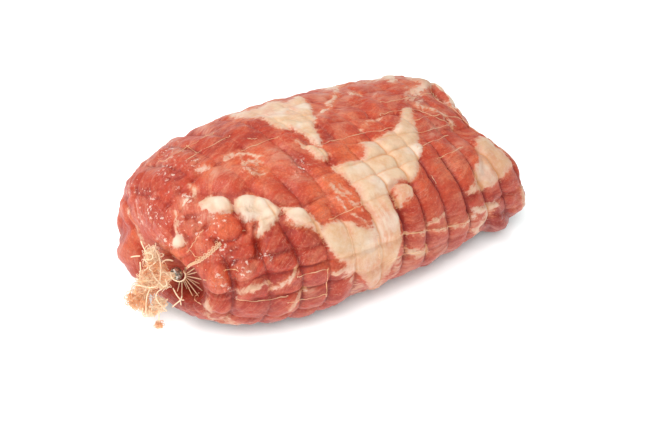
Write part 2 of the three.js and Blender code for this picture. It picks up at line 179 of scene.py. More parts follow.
def surface_normal(ring, angle):
    step = 0.02
    along = free_point(ring + step, angle) - free_point(ring - step, angle)
    around = free_point(ring, angle + step) - free_point(ring, angle - step)
    return unit(np.cross(around, along))


def smoothstep(value, low, high):
    share = np.clip((value - low) / (high - low), 0, 1)
    return share * share * (3 - 2 * share)


def nearness(points, place, reach):
    """1 at a place, falling off softly over a reach all round it."""
    return np.exp(-((np.linalg.norm(points - np.array(place, float), axis=-1) / reach) ** 2))


def bumps_at(points, bumps):
    """The summed height of round bumps and hollows at points."""
    height = np.zeros(points.shape[:-1])
    for place, spread, tall in bumps:
        height += tall * nearness(points, place, spread)
    return height


# ---------------------------------------------------------------- where the net runs
def strand_angles():
    """The angle of each strand round the middle of the roll, from the distances round it in mm."""
    middle = (FIRST_HOOP + LAST_HOOP) / 2
    steps = 4 * 360
    turns = math.pi / 2 + np.arange(steps + 1) / steps * 2 * math.pi
    ring = free_point(middle, turns)
    lengths = np.concatenate([[0], np.cumsum(np.linalg.norm(np.diff(ring, axis=0), axis=1))])
    girth = lengths[-1]
    arcs = [arc for arc, _ in SEEN_STRANDS]
    spacing = (girth + arcs[0] - arcs[-1]) / (HIDDEN_STRANDS + 1)
    arcs += [arcs[-1] + hidden * spacing for hidden in range(1, HIDDEN_STRANDS + 1)]
    whole = np.floor(np.array(arcs) / girth)
    index = np.searchsorted(lengths, np.array(arcs) - whole * girth)
    return turns[index] + whole * 2 * math.pi


STRAND_ANGLES = strand_angles()
STRAND_DRIFTS = np.array([drift for _, drift in SEEN_STRANDS] + [0] * HIDDEN_STRANDS, float) / HALF_WIDTH_ENDS


def lattice_place(ring, strand):
    """The ring number and the angle on the roll of a place in the net, by its ring and strand numbers."""
    ring, strand = np.broadcast_arrays(np.asarray(ring, float), np.asarray(strand, float))
    body = np.sin(math.pi * np.clip(ring, 0, LAST_RING) / LAST_RING)
    x, _ = station_at(ring)
    low = np.floor(strand).astype(int)
    share = strand - low
    sides = []
    for index in (low, low + 1):
        laps, own = np.divmod(index, STRAND_COUNT)
        plain = STRAND_ANGLES[own] + laps * 2 * math.pi
        wander = STRAND_WANDER * np.sin(0.75 * ring + 2.3 * own)
        sides.append((plain, plain + body * (STRAND_DRIFTS[own] * x / DRIFT_LENGTH + wander)))
    plain = sides[0][0] * (1 - share) + sides[1][0] * share
    angle = sides[0][1] * (1 - share) + sides[1][1] * share
    long_wave = HOOP_WANDERS[0] * np.sin(2 * plain + 1.9 * ring)
    short_wave = HOOP_WANDERS[1] * np.sin(3 * plain + 0.8 * ring)
    return ring + body * (long_wave + short_wave), angle


def clip_centre(near):
    """The middle of a clip, on the way out of the collar that the net gathers into."""
    ring = 0 if near else LAST_RING
    out = -1 if near else 1
    middle = free_point(ring, 0, 0)
    collar_ring, collar_angle = lattice_place(ring, 0)
    collar = free_point(collar_ring, collar_angle) - GROOVE_DEPTH * surface_normal(collar_ring, collar_angle)
    middle[0] = out * max(out * middle[0], out * collar[0]) + out * (CLIP_STANDOFF + CLIP_LENGTH / 2)
    return middle


CLIP_NEAR = clip_centre(True)
CLIP_FAR = clip_centre(False)
ROW_SHIFT = CLIP_NEAR - 500 * np.array(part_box("clip_near")[0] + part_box("clip_near")[1])
ROW_SHIFT[2] = 0


def to_row(points):
    return (np.asarray(points, float) - ROW_SHIFT) / 1000


# ---------------------------------------------------------------- what the photograph shows, in its pixels
# Fat patches, as outlines traced in the photograph's pixels. They are thrown onto the roll along the
# camera's lines of sight.
FAT_OUTLINES = {
    "top_left": [
        (226, 119), (240, 114), (251, 110), (262, 109), (270, 104), (279, 104), (285, 106), (292, 104),
        (297, 98), (303, 100), (306, 105), (312, 110), (313, 118), (316, 121), (313, 128), (318, 136),
        (321, 144), (320, 151), (314, 147), (306, 141), (300, 136), (291, 133), (280, 134), (271, 129),
        (262, 123), (250, 121), (238, 120),
    ],
    "top_left_tongue": [
        (302, 149), (309, 148), (317, 151), (323, 152), (329, 158), (326, 163), (318, 163), (311, 158),
    ],
    "top_edge": [
        (320, 90), (330, 84), (346, 82), (352, 78), (368, 75), (390, 74), (396, 80), (395, 86), (386, 84),
        (370, 82), (354, 84), (342, 86), (337, 90), (326, 91),
    ],
    "top_branch": [
        (333, 88), (339, 88), (338, 96), (334, 104), (330, 110), (325, 106), (330, 102), (335, 97),
    ],
    "top_corner": [
        (404, 73), (418, 72), (431, 80), (431, 87), (424, 92), (416, 97), (409, 95), (414, 89), (422, 86),
        (417, 81), (407, 80),
    ],
    "middle": [
        (402, 111), (408, 109), (413, 113), (412, 122), (417, 130), (418, 145), (422, 151), (418, 162),
        (417, 172), (413, 181), (404, 180), (397, 184), (389, 190), (389, 199), (393, 210), (399, 218),
        (398, 232), (402, 240), (396, 247), (396, 257), (389, 266), (380, 276), (376, 290), (368, 293),
        (366, 281), (357, 271), (344, 270), (334, 276), (330, 272), (339, 268), (346, 263), (338, 259),
        (329, 251), (323, 243), (319, 234), (322, 226), (334, 221), (346, 221), (356, 226), (367, 230),
        (373, 222), (369, 212), (362, 205), (358, 194), (349, 184), (340, 176), (327, 168), (341, 168),
        (347, 163), (362, 161), (366, 151), (356, 145), (368, 141), (384, 137), (394, 131), (399, 124),
    ],
    "beside_middle": [
        (393, 192), (397, 187), (405, 184), (411, 186), (412, 193), (405, 201), (399, 210), (394, 203),
    ],
    "left_chunk": [
        (200, 205), (206, 200), (221, 198), (230, 202), (234, 208), (232, 213), (222, 216), (210, 215),
        (202, 211),
    ],
    "mid_chunk": [
        (233, 207), (239, 199), (252, 197), (260, 199), (269, 202), (276, 208), (281, 213), (277, 221),
        (270, 228), (259, 237), (256, 234), (259, 228), (256, 220), (246, 224), (239, 217),
    ],
    "right_chunk": [
        (277, 208), (285, 209), (303, 209), (309, 214), (314, 219), (322, 226), (320, 235), (314, 229),
        (302, 228), (290, 226), (285, 220), (284, 214),
    ],
    "far_right": [
        (473, 141), (484, 138), (496, 145), (508, 157), (514, 166), (505, 171), (500, 178), (490, 186),
        (480, 190), (466, 195), (468, 189), (475, 181), (474, 168), (478, 155), (474, 147),
    ],
    "far_rim": [(519, 184), (527, 184), (529, 204), (522, 209), (519, 198)],
    "end_chunk": [(175, 238), (181, 233), (187, 241), (185, 247), (176, 248), (173, 244)],
    "low_right": [(405, 246), (414, 249), (427, 243), (427, 249), (422, 254), (411, 255), (405, 253)],
    "low_far": [
        (470, 207), (482, 205), (492, 201), (498, 203), (489, 208), (487, 216), (480, 223), (474, 231),
        (469, 231), (480, 218), (484, 209), (474, 213),
    ],
    "floor_left": [(203, 302), (210, 300), (214, 305), (213, 311), (206, 309)],
}

RAISED_FAT = ("left_chunk", "mid_chunk", "right_chunk", "end_chunk", "top_left_tongue")

# Mottled places, half fat and half lean, in the same pixels.
MARBLED_OUTLINES = {
    "below_middle": [
        (330, 272), (352, 268), (358, 281), (372, 290), (396, 262), (392, 250), (404, 247), (402, 262),
        (382, 280), (368, 296), (350, 296), (352, 282), (338, 274),
    ],
    "top_far": [(404, 88), (418, 90), (424, 104), (412, 112), (404, 104)],
}

# Streaks of fat: (x, y, half width) along each, in the same pixels.
FAT_STREAKS = {
    "arch": [(226, 161, 0.6), (233, 157, 1.2), (242, 155.5, 1.4), (251, 156.5, 1.0), (262, 160, 0.5)],
    "hook": [(270, 289, 1.2), (279, 284, 1.6), (287, 279, 2.4), (292, 273, 3.0), (296, 267, 1.6)],
    "low_strip": [(237, 290, 1.0), (246, 287, 2.2), (256, 285, 2.2), (264, 281, 1.8), (269, 284, 1.0)],
    "low_branch": [(289, 306, 1.4), (294, 300, 2.0), (299, 294, 1.6), (306, 290, 0.8)],
    "floor_strip": [(206, 311, 0.8), (213, 317, 1.5), (224, 318, 1.5), (233, 319, 1.2), (242, 322, 1.2)],
    "end_streak": [(177, 214, 0.8), (179, 222, 1.6), (180, 230, 1.6), (180, 236, 1.0)],
    "right_low": [(426, 224, 1.0), (433, 220, 1.9), (440, 216, 1.7), (446, 213, 0.7)],
    "right_long": [(402, 234, 0.6), (420, 231, 1.0), (444, 227, 0.8), (462, 223, 0.8), (472, 215, 0.6)],
    "slab_fibre_1": [(322, 180, 0.5), (332, 189, 1.1), (344, 199, 1.1), (356, 208, 0.6)],
    "slab_fibre_2": [(334, 184, 0.5), (346, 194, 1.2), (356, 203, 0.9), (361, 212, 0.5)],
    "slab_fibre_3": [(333, 198, 0.6), (341, 205, 1.3), (347, 213, 0.5)],
    "slab_fibre_4": [(352, 215, 0.5), (362, 221, 0.9), (370, 228, 0.5)],
    "top_fibre_1": [(360, 131, 0.4), (368, 125, 0.9), (380, 121, 0.5)],
    "top_fibre_2": [(318, 117, 0.6), (322, 114, 1.0), (327, 111, 0.5)],
    "top_fibre_3": [(350, 95, 0.5), (354, 97, 1.0), (360, 97, 0.5)],
    "far_arch": [(414, 108, 0.6), (430, 113, 1.1), (442, 119, 1.2), (450, 127, 1.4), (453, 131, 0.6)],
    "far_rim_line": [(440, 92, 0.5), (458, 112, 1.0), (478, 130, 1.2), (496, 145, 1.0)],
    "slot_pale": [(296, 147, 0.4), (302, 150, 1.0), (309, 152, 0.5)],
    "end_rim": [(128, 208, 0.2), (131, 218, 0.5), (136, 230, 0.4), (143, 242, 0.5), (150, 252, 0.2)],
    "pocket_rim_1": [(243, 168, 0.4), (248, 163, 0.9), (256, 162, 0.9), (263, 166, 0.4)],
    "pocket_rim_2": [(246, 173, 0.4), (253, 177, 0.9), (261, 177, 0.8), (268, 172, 0.5)],
    "pocket_rim_3": [(255, 164, 0.3), (258, 170, 0.7), (256, 176, 0.3)],
    "pocket_drip": [(240, 157, 0.6), (242, 163, 0.9), (243, 169, 0.4)],
    "end_orange_1": [(198, 172, 0.4), (206, 170, 1.0), (214, 171, 0.4)],
    "end_orange_2": [(190, 187, 0.6), (196, 192, 1.0), (194, 201, 0.8)],
    "end_orange_3": [(184, 209, 0.8), (188, 202, 1.2), (194, 199, 0.6)],
}

# Lean that is deeper, or brighter and more orange, than the rest: (x, y, reach, tone) in the same pixels.
# Some are painted light and shade: the bright ones at (165, 250) and (130, 228) lift places that the clefts
# shade, and the deep ones at (190, 284) and (195, 285) darken the hollow by the near clip.
LEAN_TONES = [
    (170, 160, 34, -0.35), (215, 135, 26, -0.45), (245, 138, 16, -0.6), (300, 140, 14, -0.4),
    (205, 225, 34, 0.25), (219, 279, 13, 1.1), (245, 183, 26, 0.45), (258, 166, 14, 1.5),
    (180, 205, 18, 0.35), (320, 130, 12, -0.7), (345, 110, 26, 0.25), (350, 153, 16, 0.9),
    (320, 213, 12, 1.0), (346, 203, 13, 1.5), (328, 185, 13, 1.3), (435, 198, 34, 0.12),
    (410, 222, 12, -0.6), (200, 140, 18, -0.4), (226, 228, 12, 1.8), (206, 240, 9, 0.7),
    (165, 250, 9, 1.6), (130, 228, 8, 1.8), (410, 225, 18, -0.6), (440, 122, 18, -0.45),
    (463, 162, 20, 0.8), (485, 198, 16, -0.8), (330, 105, 30, 0.3), (270, 240, 22, -0.9),
    (310, 245, 22, -0.9), (325, 262, 10, 0.9), (255, 275, 20, -1.0), (255, 305, 24, -0.5),
    (330, 290, 24, -0.5), (400, 262, 16, -0.35), (195, 285, 9, -1.2), (275, 195, 20, 0.3),
    (385, 95, 24, -0.1), (375, 122, 18, 0.5), (210, 158, 14, -0.3), (505, 195, 14, -0.5),
    (129, 250, 14, 1.3), (122, 208, 8, 0.9), (230, 166, 11, 1.3), (150, 195, 26, -0.05),
    (430, 245, 24, -0.6), (497, 220, 10, -1.8), (280, 262, 24, -0.9), (250, 292, 22, -0.7),
    (220, 300, 20, -0.5), (300, 285, 24, -1.0), (345, 285, 20, -0.8), (232, 262, 10, -0.8),
    (270, 305, 26, -0.5), (300, 235, 16, -1.5), (275, 245, 16, -1.5), (190, 300, 14, -1.2),
    (190, 284, 9, -1.6),
]

# How hard the net's hoops and strands press in: (x, y, reach, hoops, strands) in the same pixels.
PRESS_BASE = (0.55, 0.4)
PRESS_PLACES = [
    (445, 195, 42, 1.0, 0.15), (275, 245, 30, 0.95, 0.9), (305, 270, 26, 0.9, 1.2),
    (412, 215, 22, 1.0, 0.1), (375, 160, 28, 0.45, 0.5), (345, 240, 24, 0.3, 0.3),
    (170, 140, 26, 0.9, 0.05), (245, 140, 36, 0.1, 0.05), (165, 190, 36, 0.15, 0.05),
    (205, 225, 30, 0.1, 0.05), (330, 110, 34, 0.05, 0.3), (250, 175, 34, 0.1, 0.15),
    (225, 285, 20, 0.9, 0.4), (400, 110, 34, 0.1, 0.3), (460, 150, 20, 0.8, 0.1),
    (500, 185, 20, 1.0, 0.3), (290, 190, 22, 0.4, 0.1), (325, 200, 20, 0.3, 0.2),
    (190, 290, 24, 0.2, 0.2), (145, 240, 30, 0.1, 0.05), (150, 160, 16, 1.1, 0.1),
    (133, 180, 10, 1.1, 0.1), (200, 128, 14, 1.1, 0.1), (480, 130, 12, 1.0, 0.3),
    (272, 234, 12, 0.9, 0.0), (300, 229, 11, 0.9, 0.0), (250, 240, 9, 0.6, 0.0),
]

# Lumps of the meat: (x, y, half width, half height, turn in degrees, height in mm) in the same pixels.
LUMPS = [
    (225, 229, 17, 13, 0, 3.2), (206, 240, 9, 11, 0, 2.0), (217, 253, 14, 9, -15, 2.4),
    (220, 279, 14, 15, 0, 4.0), (243, 272, 13, 13, 0, 2.6), (241, 296, 14, 12, 0, 2.0),
    (221, 303, 16, 8, 0, 2.4), (226, 182, 34, 15, -8, 2.4), (194, 208, 9, 9, 0, 2.2),
    (182, 227, 7, 14, 0, 1.8), (191, 228, 7, 10, 0, 1.8), (180, 252, 11, 5, 0, 2.6),
    (164, 249, 5, 9, 0, 1.4), (186, 262, 5, 6, 0, 1.6), (147, 205, 18, 22, 20, 1.5),
    (164, 222, 11, 15, 0, 1.3), (150, 178, 18, 15, -30, 1.4), (180, 165, 24, 13, -25, 1.4),
    (167, 192, 13, 14, 0, 1.2), (131, 255, 14, 26, 0, 2.4), (128, 240, 8, 12, 0, 2.0),
    (122, 207, 7, 12, 0, 1.6), (271, 160, 17, 8, -8, 1.6), (290, 143, 17, 10, 10, 2.0),
    (284, 163, 10, 8, 0, 1.5), (315, 176, 15, 10, 30, 1.2), (270, 190, 20, 9, 8, 1.6),
    (305, 190, 18, 11, 20, 1.4), (318, 210, 9, 8, 20, 2.0), (245, 137, 27, 12, -14, 1.4),
    (205, 146, 20, 12, -25, 1.2), (341, 122, 30, 12, -14, 1.2), (335, 150, 16, 10, -10, 1.6),
    (385, 105, 26, 12, -12, 1.2), (400, 196, 12, 12, 0, 2.0), (497, 219, 10, 8, -10, 6.0),
    (480, 126, 8, 6, 40, 2.6), (457, 106, 9, 6, 40, 2.2), (435, 122, 20, 12, 20, 1.2),
    (462, 158, 18, 14, 30, 1.2), (273, 238, 14, 15, 0, 2.0), (221, 205, 10, 6, 0, 2.0),
    (210, 209, 7, 4, 0, 1.6), (246, 205, 9, 6, 0, 2.4), (262, 206, 8, 6, 20, 2.6),
    (270, 215, 8, 6, 0, 2.6), (259, 229, 4, 8, 20, 2.0), (243, 215, 7, 6, 0, 2.2),
    (296, 214, 10, 4, 10, 2.0), (300, 223, 12, 4, 5, 1.6), (303, 243, 15, 13, 0, 1.8),
    (284, 265, 13, 13, 0, 1.6), (309, 268, 14, 13, 0, 1.6), (263, 262, 9, 12, 0, 1.6),
]

# Broad swellings and hollows that trim the outline: (x, y, reach, height in mm) in the same pixels.
SWELLINGS = [
    (118, 232, 14, -5.0), (150, 160, 16, -1.4), (192, 130, 16, -2.6), (215, 118, 14, -1.4),
    (252, 108, 14, -1.0), (441, 91, 11, -5.5), (413, 77, 9, -1.8), (478, 138, 12, 1.5),
    (340, 303, 12, 2.2), (384, 285, 14, 2.2), (426, 267, 16, 3.0), (454, 252, 12, 1.8),
    (350, 79, 12, 1.0), (172, 258, 4, -3.0), (128, 266, 10, -3.0),
]

# Clefts: how deep in mm, the half width in pixels, and the line that each follows.
CLEFTS = [
    (1.2, 2.0, [(128, 219), (133, 228), (138, 239), (143, 250)]),
    (5.5, 8.0, [(186, 276), (193, 287), (198, 297)]),
    (3.4, 2.8, [(256, 228), (257, 242), (257, 258)]),
    (2.2, 2.4, [(232, 204), (234, 212), (243, 222), (246, 232)]),
    (1.8, 2.2, [(234, 262), (257, 257), (290, 250), (325, 244)]),
    (1.4, 2.0, [(235, 262), (236, 276), (236, 294)]),
    (1.6, 1.8, [(204, 291), (218, 295), (236, 293)]),
    (1.6, 2.4, [(204, 237), (220, 242), (236, 239), (244, 231)]),
    (1.2, 2.2, [(262, 199), (282, 207), (306, 207)]),
    (1.4, 2.2, [(310, 204), (328, 206), (336, 218)]),
    (1.4, 2.2, [(388, 190), (396, 183), (412, 184), (416, 192)]),
    (1.8, 2.2, [(391, 196), (393, 208), (398, 216), (400, 228)]),
    (1.3, 2.2, [(193, 182), (203, 172), (218, 165), (234, 160)]),
    (1.3, 2.0, [(321, 152), (330, 160), (327, 165)]),
    (1.2, 2.0, [(347, 178), (360, 196), (370, 213)]),
    (1.6, 2.4, [(478, 150), (482, 172), (476, 190), (468, 197)]),
]

# How much the meat is broken into small lumps: (x, y, reach, share) in the same pixels.
LUMPY_BASE = 0.35
LUMPY_PLACES = [
    (160, 200, 36, 1.2), (205, 215, 26, 1.0), (170, 245, 22, 1.2), (215, 278, 12, 0.1),
    (240, 262, 16, 0.9), (130, 255, 12, 0.2), (300, 160, 34, 0.6), (280, 265, 34, 0.5),
    (440, 200, 44, 0.2), (378, 160, 34, 0.3), (245, 185, 26, 0.5), (350, 240, 34, 0.5),
    (450, 130, 34, 0.6), (495, 190, 18, 0.7), (340, 115, 30, 0.6),
]

# How much the fibres of the meat show: (x, y, reach, share) in the same pixels.
FIBRE_BASE = 0.6
FIBRE_PLACES = [
    (150, 200, 40, 0.15), (215, 250, 32, 0.1), (130, 255, 20, 0.15), (215, 140, 30, 1.0),
    (290, 140, 20, 0.7), (430, 200, 40, 0.8), (280, 260, 34, 0.6), (219, 279, 14, 0.0),
    (345, 195, 20, 0.1), (450, 240, 30, 0.9), (230, 185, 26, 0.45),
]

# Fat that is blushed pink and orange: (x, y, reach) in the same pixels.
BLUSH_PLACES = [
    (378, 214, 13), (384, 238, 14), (372, 270, 16), (346, 232, 7), (352, 262, 9), (292, 113, 7),
    (268, 114, 7), (222, 215, 6), (308, 226, 7), (318, 222, 6), (490, 172, 6), (476, 156, 6),
    (412, 125, 5), (243, 115, 12), (340, 80, 10), (415, 82, 12), (500, 155, 8),
    (487, 160, 9), (507, 170, 7), (318, 211, 8), (230, 166, 8), (324, 207, 6), (350, 153, 12),
    (325, 264, 8), (219, 279, 9), (262, 170, 9), (246, 172, 8), (208, 176, 9), (176, 252, 9),
    (350, 200, 11), (332, 182, 11), (256, 169, 9), (400, 196, 8),
]

# A thin pale film over the lean, partly painted sheen along the top edges and painted highlights on the
# crowns of lumps: (x, y, reach) in the same pixels.
FILM_AND_SHEEN_PLACES = [
    (240, 113, 9), (262, 103, 10), (290, 96, 10), (330, 88, 10), (370, 80, 10), (398, 78, 9),
    (345, 97, 6), (208, 128, 10), (274, 158, 8), (290, 164, 8), (228, 173, 8), (320, 118, 7),
    (424, 96, 9), (450, 106, 7), (474, 124, 7), (207, 217, 7), (186, 206, 8), (163, 262, 7),
    (310, 290, 6), (340, 112, 6), (247, 206, 9), (262, 208, 8), (268, 217, 7), (221, 206, 8),
    (296, 214, 8), (258, 230, 5), (180, 240, 5), (405, 262, 8), (440, 246, 8), (470, 222, 8),
    (215, 178, 7), (296, 178, 7), (432, 132, 8), (458, 150, 7), (150, 165, 8), (176, 148, 8),
    (322, 100, 7), (376, 98, 7),
]

# The net's threads that lie bare, in the same pixels. Elsewhere the meat has closed over them.
BARE_THREADS = {
    "top_left_upper": [(158, 161), (175, 155), (187, 146), (214, 133)],
    "top_left_lower": [(186, 160), (209, 146), (230, 136)],
    "top_left_hoop": [(186, 145), (197, 153)],
    "ridge_left": [(242, 151), (261, 142), (279, 137)],
    "ridge_middle": [(304, 147), (330, 141), (350, 136), (366, 132), (396, 127)],
    "far_upper": [(415, 134), (430, 130), (448, 125)],
    "far_middle": [(417, 147), (430, 143), (448, 135)],
    "far_lower": [(437, 159), (450, 153), (463, 147)],
    "over_slab": [(329, 220), (348, 211), (362, 205)],
    "front_long": [(399, 235), (420, 232), (446, 228), (472, 221)],
    "front_long_lower": [(386, 262), (402, 255), (420, 251)],
    "low_hoop": [(328, 268), (327, 281), (326, 296)],
    "low_strand": [(288, 304), (304, 300), (327, 294)],
    "low_strand_left": [(236, 299), (252, 302), (268, 300), (288, 296)],
    "low_strand_short": [(297, 277), (311, 273), (328, 269)],
    "fat_hoop": [(347, 228), (352, 241), (354, 256)],
    "fat_hoop_far": [(378, 236), (379, 247), (379, 258)],
    "middle_hoop": [(432, 176), (436, 183)],
    "far_arc_1": [(380, 102), (396, 99), (412, 98), (428, 93), (438, 92)],
    "far_arc_2": [(380, 114), (400, 110), (414, 108), (432, 115), (446, 120), (456, 126)],
    "far_arc_3": [(414, 120), (432, 114), (450, 115), (464, 119)],
    "far_arc_4": [(432, 91), (446, 98), (456, 108), (466, 120), (478, 131)],
    "white_dash": [(248, 138), (252, 139), (257, 138)],
    "over_hook": [(224, 271), (231, 268), (238, 271)],
    "end_short": [(190, 250), (194, 255), (199, 258)],
    "end_curl": [(199, 293), (194, 297), (195, 301), (201, 304)],
    "end_thin": [(187, 252), (191, 247), (195, 241), (199, 235), (203, 230)],
    "end_left": [(162, 265), (163, 261), (168, 260), (172, 261)],
}

# The braided edge of the net that runs from the near clip, and the strands that fan out from it.
BRAID = [(184, 272), (189, 266), (193, 263), (200, 261), (207, 256), (214, 250), (221, 244)]
FAN_STRANDS = [
    [(186, 275), (206, 270)], [(186, 276), (206, 280)], [(186, 277), (203, 291)], [(185, 278), (199, 296)],
    [(184, 279), (193, 296)], [(183, 280), (187, 290)], [(182, 281), (182, 298)], [(180, 281), (178, 291)],
    [(186, 274), (198, 266)], [(185, 277), (200, 284)],
]

# Places that are wet, in specks: the coat is glossier there and painted highlights lie on them: (x, y, reach)
# in the same pixels.
WET_PLACES = [
    (138, 190, 10), (148, 198, 10), (170, 175, 12), (193, 167, 9), (162, 218, 12), (195, 228, 14),
    (219, 225, 10), (176, 195, 8), (240, 265, 13), (212, 248, 14), (150, 215, 12), (265, 257, 7),
    (188, 203, 8), (222, 247, 14), (165, 244, 10), (248, 216, 8), (232, 292, 8), (219, 279, 9),
    (172, 152, 12), (300, 170, 10), (250, 172, 9),
]

PIXEL_MM = 0.63  # what a pixel of the photograph is across, at the middle of the roll
FAR_OUTSIDE = -40.0  # a depth in pixels that is well clear of every outline
RAISED_FAT_HEIGHT = 1.5
DOME_POWER = 0.7  # how a lump's sides rise: 0.5 would make it half an ellipsoid
BASE_WEIGHT = 0.35  # how much a base value counts beside the places that are laid over it


def to_image(points):
    """The photograph's pixels that points are seen at."""
    step = points - CAMERA_PLACE
    depth = step @ CAMERA_FORWARD
    return np.stack([
        IMAGE_WIDTH / 2 + FOCAL_PIXELS * (step @ CAMERA_RIGHT) / depth,
        IMAGE_HEIGHT / 2 - FOCAL_PIXELS * (step @ CAMERA_UP) / depth,
    ], -1)


def at_depth(x, y, nearer):
    """The place behind a pixel of the photograph, nearer to the camera than the near clip by some mm."""
    across = (x - IMAGE_WIDTH / 2) / FOCAL_PIXELS
    down = (y - IMAGE_HEIGHT / 2) / FOCAL_PIXELS
    depth = (CLIP_NEAR - CAMERA_PLACE) @ CAMERA_FORWARD - nearer
    return CAMERA_PLACE + depth * (CAMERA_FORWARD + across * CAMERA_RIGHT - down * CAMERA_UP)


def segment_distance(points, start, finish):
    """The distance of points from a line between two places, and where along it each is nearest."""
    start, finish = np.array(start, float), np.array(finish, float)
    line = finish - start
    share = np.clip((points - start) @ line / max(line @ line, 1e-9), 0, 1)
    return np.linalg.norm(points - start - share[..., None] * line, axis=-1), share


def rounded_outline(corners):
    """An outline with each corner cut once, so that its bends are soft."""
    corners = np.array(corners, float)
    after = np.roll(corners, -1, axis=0)
    return np.stack([corners * 0.75 + after * 0.25, corners * 0.25 + after * 0.75], 1).reshape(-1, 2)


def outline_depth(pixels, outline):
    """How far inside an outline each pixel place is; outside it is negative."""
    corners = rounded_outline(outline)
    nearest = np.full(len(pixels), 1e9)
    inside = np.zeros(len(pixels), bool)
    for start, finish in zip(corners, np.roll(corners, -1, axis=0)):
        distance, _ = segment_distance(pixels, start, finish)
        nearest = np.minimum(nearest, distance)
        crosses = (start[1] > pixels[:, 1]) != (finish[1] > pixels[:, 1])
        rise = finish[1] - start[1] if finish[1] != start[1] else 1e-9
        edge = start[0] + (pixels[:, 1] - start[1]) / rise * (finish[0] - start[0])
        inside ^= crosses & (pixels[:, 0] < edge)
    return np.where(inside, nearest, -nearest)


def streak_depth(pixels, streak):
    depth = np.full(len(pixels), -1e9)
    for (x0, y0, wide0), (x1, y1, wide1) in zip(streak, streak[1:]):
        distance, share = segment_distance(pixels, (x0, y0), (x1, y1))
        depth = np.maximum(depth, wide0 + (wide1 - wide0) * share - distance)
    return depth


def soft_blend(pixels, places, base):
    """Values that a list of places gives the pixels near each, over a base value."""
    weight = np.full(len(pixels), BASE_WEIGHT)
    total = weight[:, None] * np.array(base, float)
    for x, y, reach, *values in places:
        near = nearness(pixels, (x, y), reach)
        weight += near
        total += near[:, None] * np.array(values, float)
    return total / weight[:, None]


def soft_spots(pixels, places):
    """The strongest of a list of round soft spots at each pixel place, from 0 to 1."""
    strength = np.zeros(len(pixels))
    for x, y, reach in places:
        strength = np.maximum(strength, nearness(pixels, (x, y), reach))
    return strength


def seen_relief(pixels):
    """Lumps, swellings, raised fat and clefts in mm, at pixel places."""
    lumps = np.zeros(len(pixels))
    for x, y, half_width, half_height, turn, tall in LUMPS:
        cosine, sine = math.cos(math.radians(turn)), math.sin(math.radians(turn))
        across, down = (pixels - (x, y)).T
        along = (across * cosine + down * sine) / half_width
        aside = (down * cosine - across * sine) / half_height
        dome = np.clip(1 - along ** 2 - aside ** 2, 0, 1) ** DOME_POWER
        lumps = np.maximum(lumps, tall * dome)
    height = lumps
    for x, y, reach, tall in SWELLINGS:
        height = height + tall * nearness(pixels, (x, y), reach)
    for name in RAISED_FAT:
        height = height + RAISED_FAT_HEIGHT * smoothstep(outline_depth(pixels, FAT_OUTLINES[name]), -0.6, 2.6)
    for deep, wide, line in CLEFTS:
        away = -streak_depth(pixels, [(x, y, 0) for x, y in line])
        height = height - deep * np.exp(-(away / wide) ** 2)
    return height


# What a place carries that the photograph doesn't show, in the order of seen_fields().
PLAIN_FIELDS = np.array([-20, -20, 0, *PRESS_BASE, LUMPY_BASE, FIBRE_BASE, 0, 0, 0.3, 0])


def seen_fields(pixels):
    """What the photograph shows at pixel places: fat, marbling, tone, the net's press and the rest."""
    fat = np.full(len(pixels), FAR_OUTSIDE)
    for outline in FAT_OUTLINES.values():
        fat = np.maximum(fat, outline_depth(pixels, outline))
    for streak in FAT_STREAKS.values():
        fat = np.maximum(fat, streak_depth(pixels, streak))
    marbled = np.full(len(pixels), FAR_OUTSIDE)
    for outline in MARBLED_OUTLINES.values():
        marbled = np.maximum(marbled, outline_depth(pixels, outline))
    return np.column_stack([
        fat * PIXEL_MM,
        marbled * PIXEL_MM,
        soft_blend(pixels, LEAN_TONES, (0.0,)),
        soft_blend(pixels, PRESS_PLACES, PRESS_BASE),
        soft_blend(pixels, LUMPY_PLACES, (LUMPY_BASE,)),
        soft_blend(pixels, FIBRE_PLACES, (FIBRE_BASE,)),
        soft_spots(pixels, WET_PLACES),
        soft_spots(pixels, BLUSH_PLACES),
        soft_spots(pixels, FILM_AND_SHEEN_PLACES),
        seen_relief(pixels),
    ])


# ---------------------------------------------------------------- mesh building
FLOOR_GAP = 0.05  # the threads stay this far above the floor


def soft_path(points, samples):
    """A smooth path near a list of points, as a uniform cubic B-spline that starts and ends on them."""
    points = np.asarray(points, float)
    padded = np.concatenate([points[:1]] * 2 + [points] + [points[-1:]] * 2)
    place = np.linspace(0, len(padded) - 3 - 1e-6, samples)
    index = place.astype(int)
    t = (place - index)[:, None]
    weights = (
        (1 - t) ** 3,
        3 * t ** 3 - 6 * t ** 2 + 4,
        -3 * t ** 3 + 3 * t ** 2 + 3 * t + 1,
        t ** 3,
    )
    return sum(weight * padded[index + step] for step, weight in enumerate(weights)) / 6


def noise_at(points, wavelength, seed):
    flat = (points.reshape(-1, 3) / wavelength + seed).tolist()
    return np.array([noise.noise(place) for place in flat]).reshape(points.shape[:-1])


def cell_ridges(points, wavelength, seed):
    """Rounded cells: 0 on the seams between them, up to 1 inside each."""
    flat = (points.reshape(-1, 3) / wavelength + seed).tolist()
    gaps = np.array([noise.voronoi(place)[0][:2] for place in flat])
    return smoothstep(gaps[:, 1] - gaps[:, 0], 0, 0.5).reshape(points.shape[:-1])


def noise_sum(points, noises):
    """The sum of several noises, each given by its height, its wavelength and its seed."""
    return sum(tall * noise_at(points, wavelength, seed) for tall, wavelength, seed in noises)


def warped(points, reach, wavelength, seeds):
    """Points pushed about by a noise, so that what is shaped round them comes out uneven."""
    return points + reach * np.stack([noise_at(points, wavelength, seed) for seed in seeds], -1)


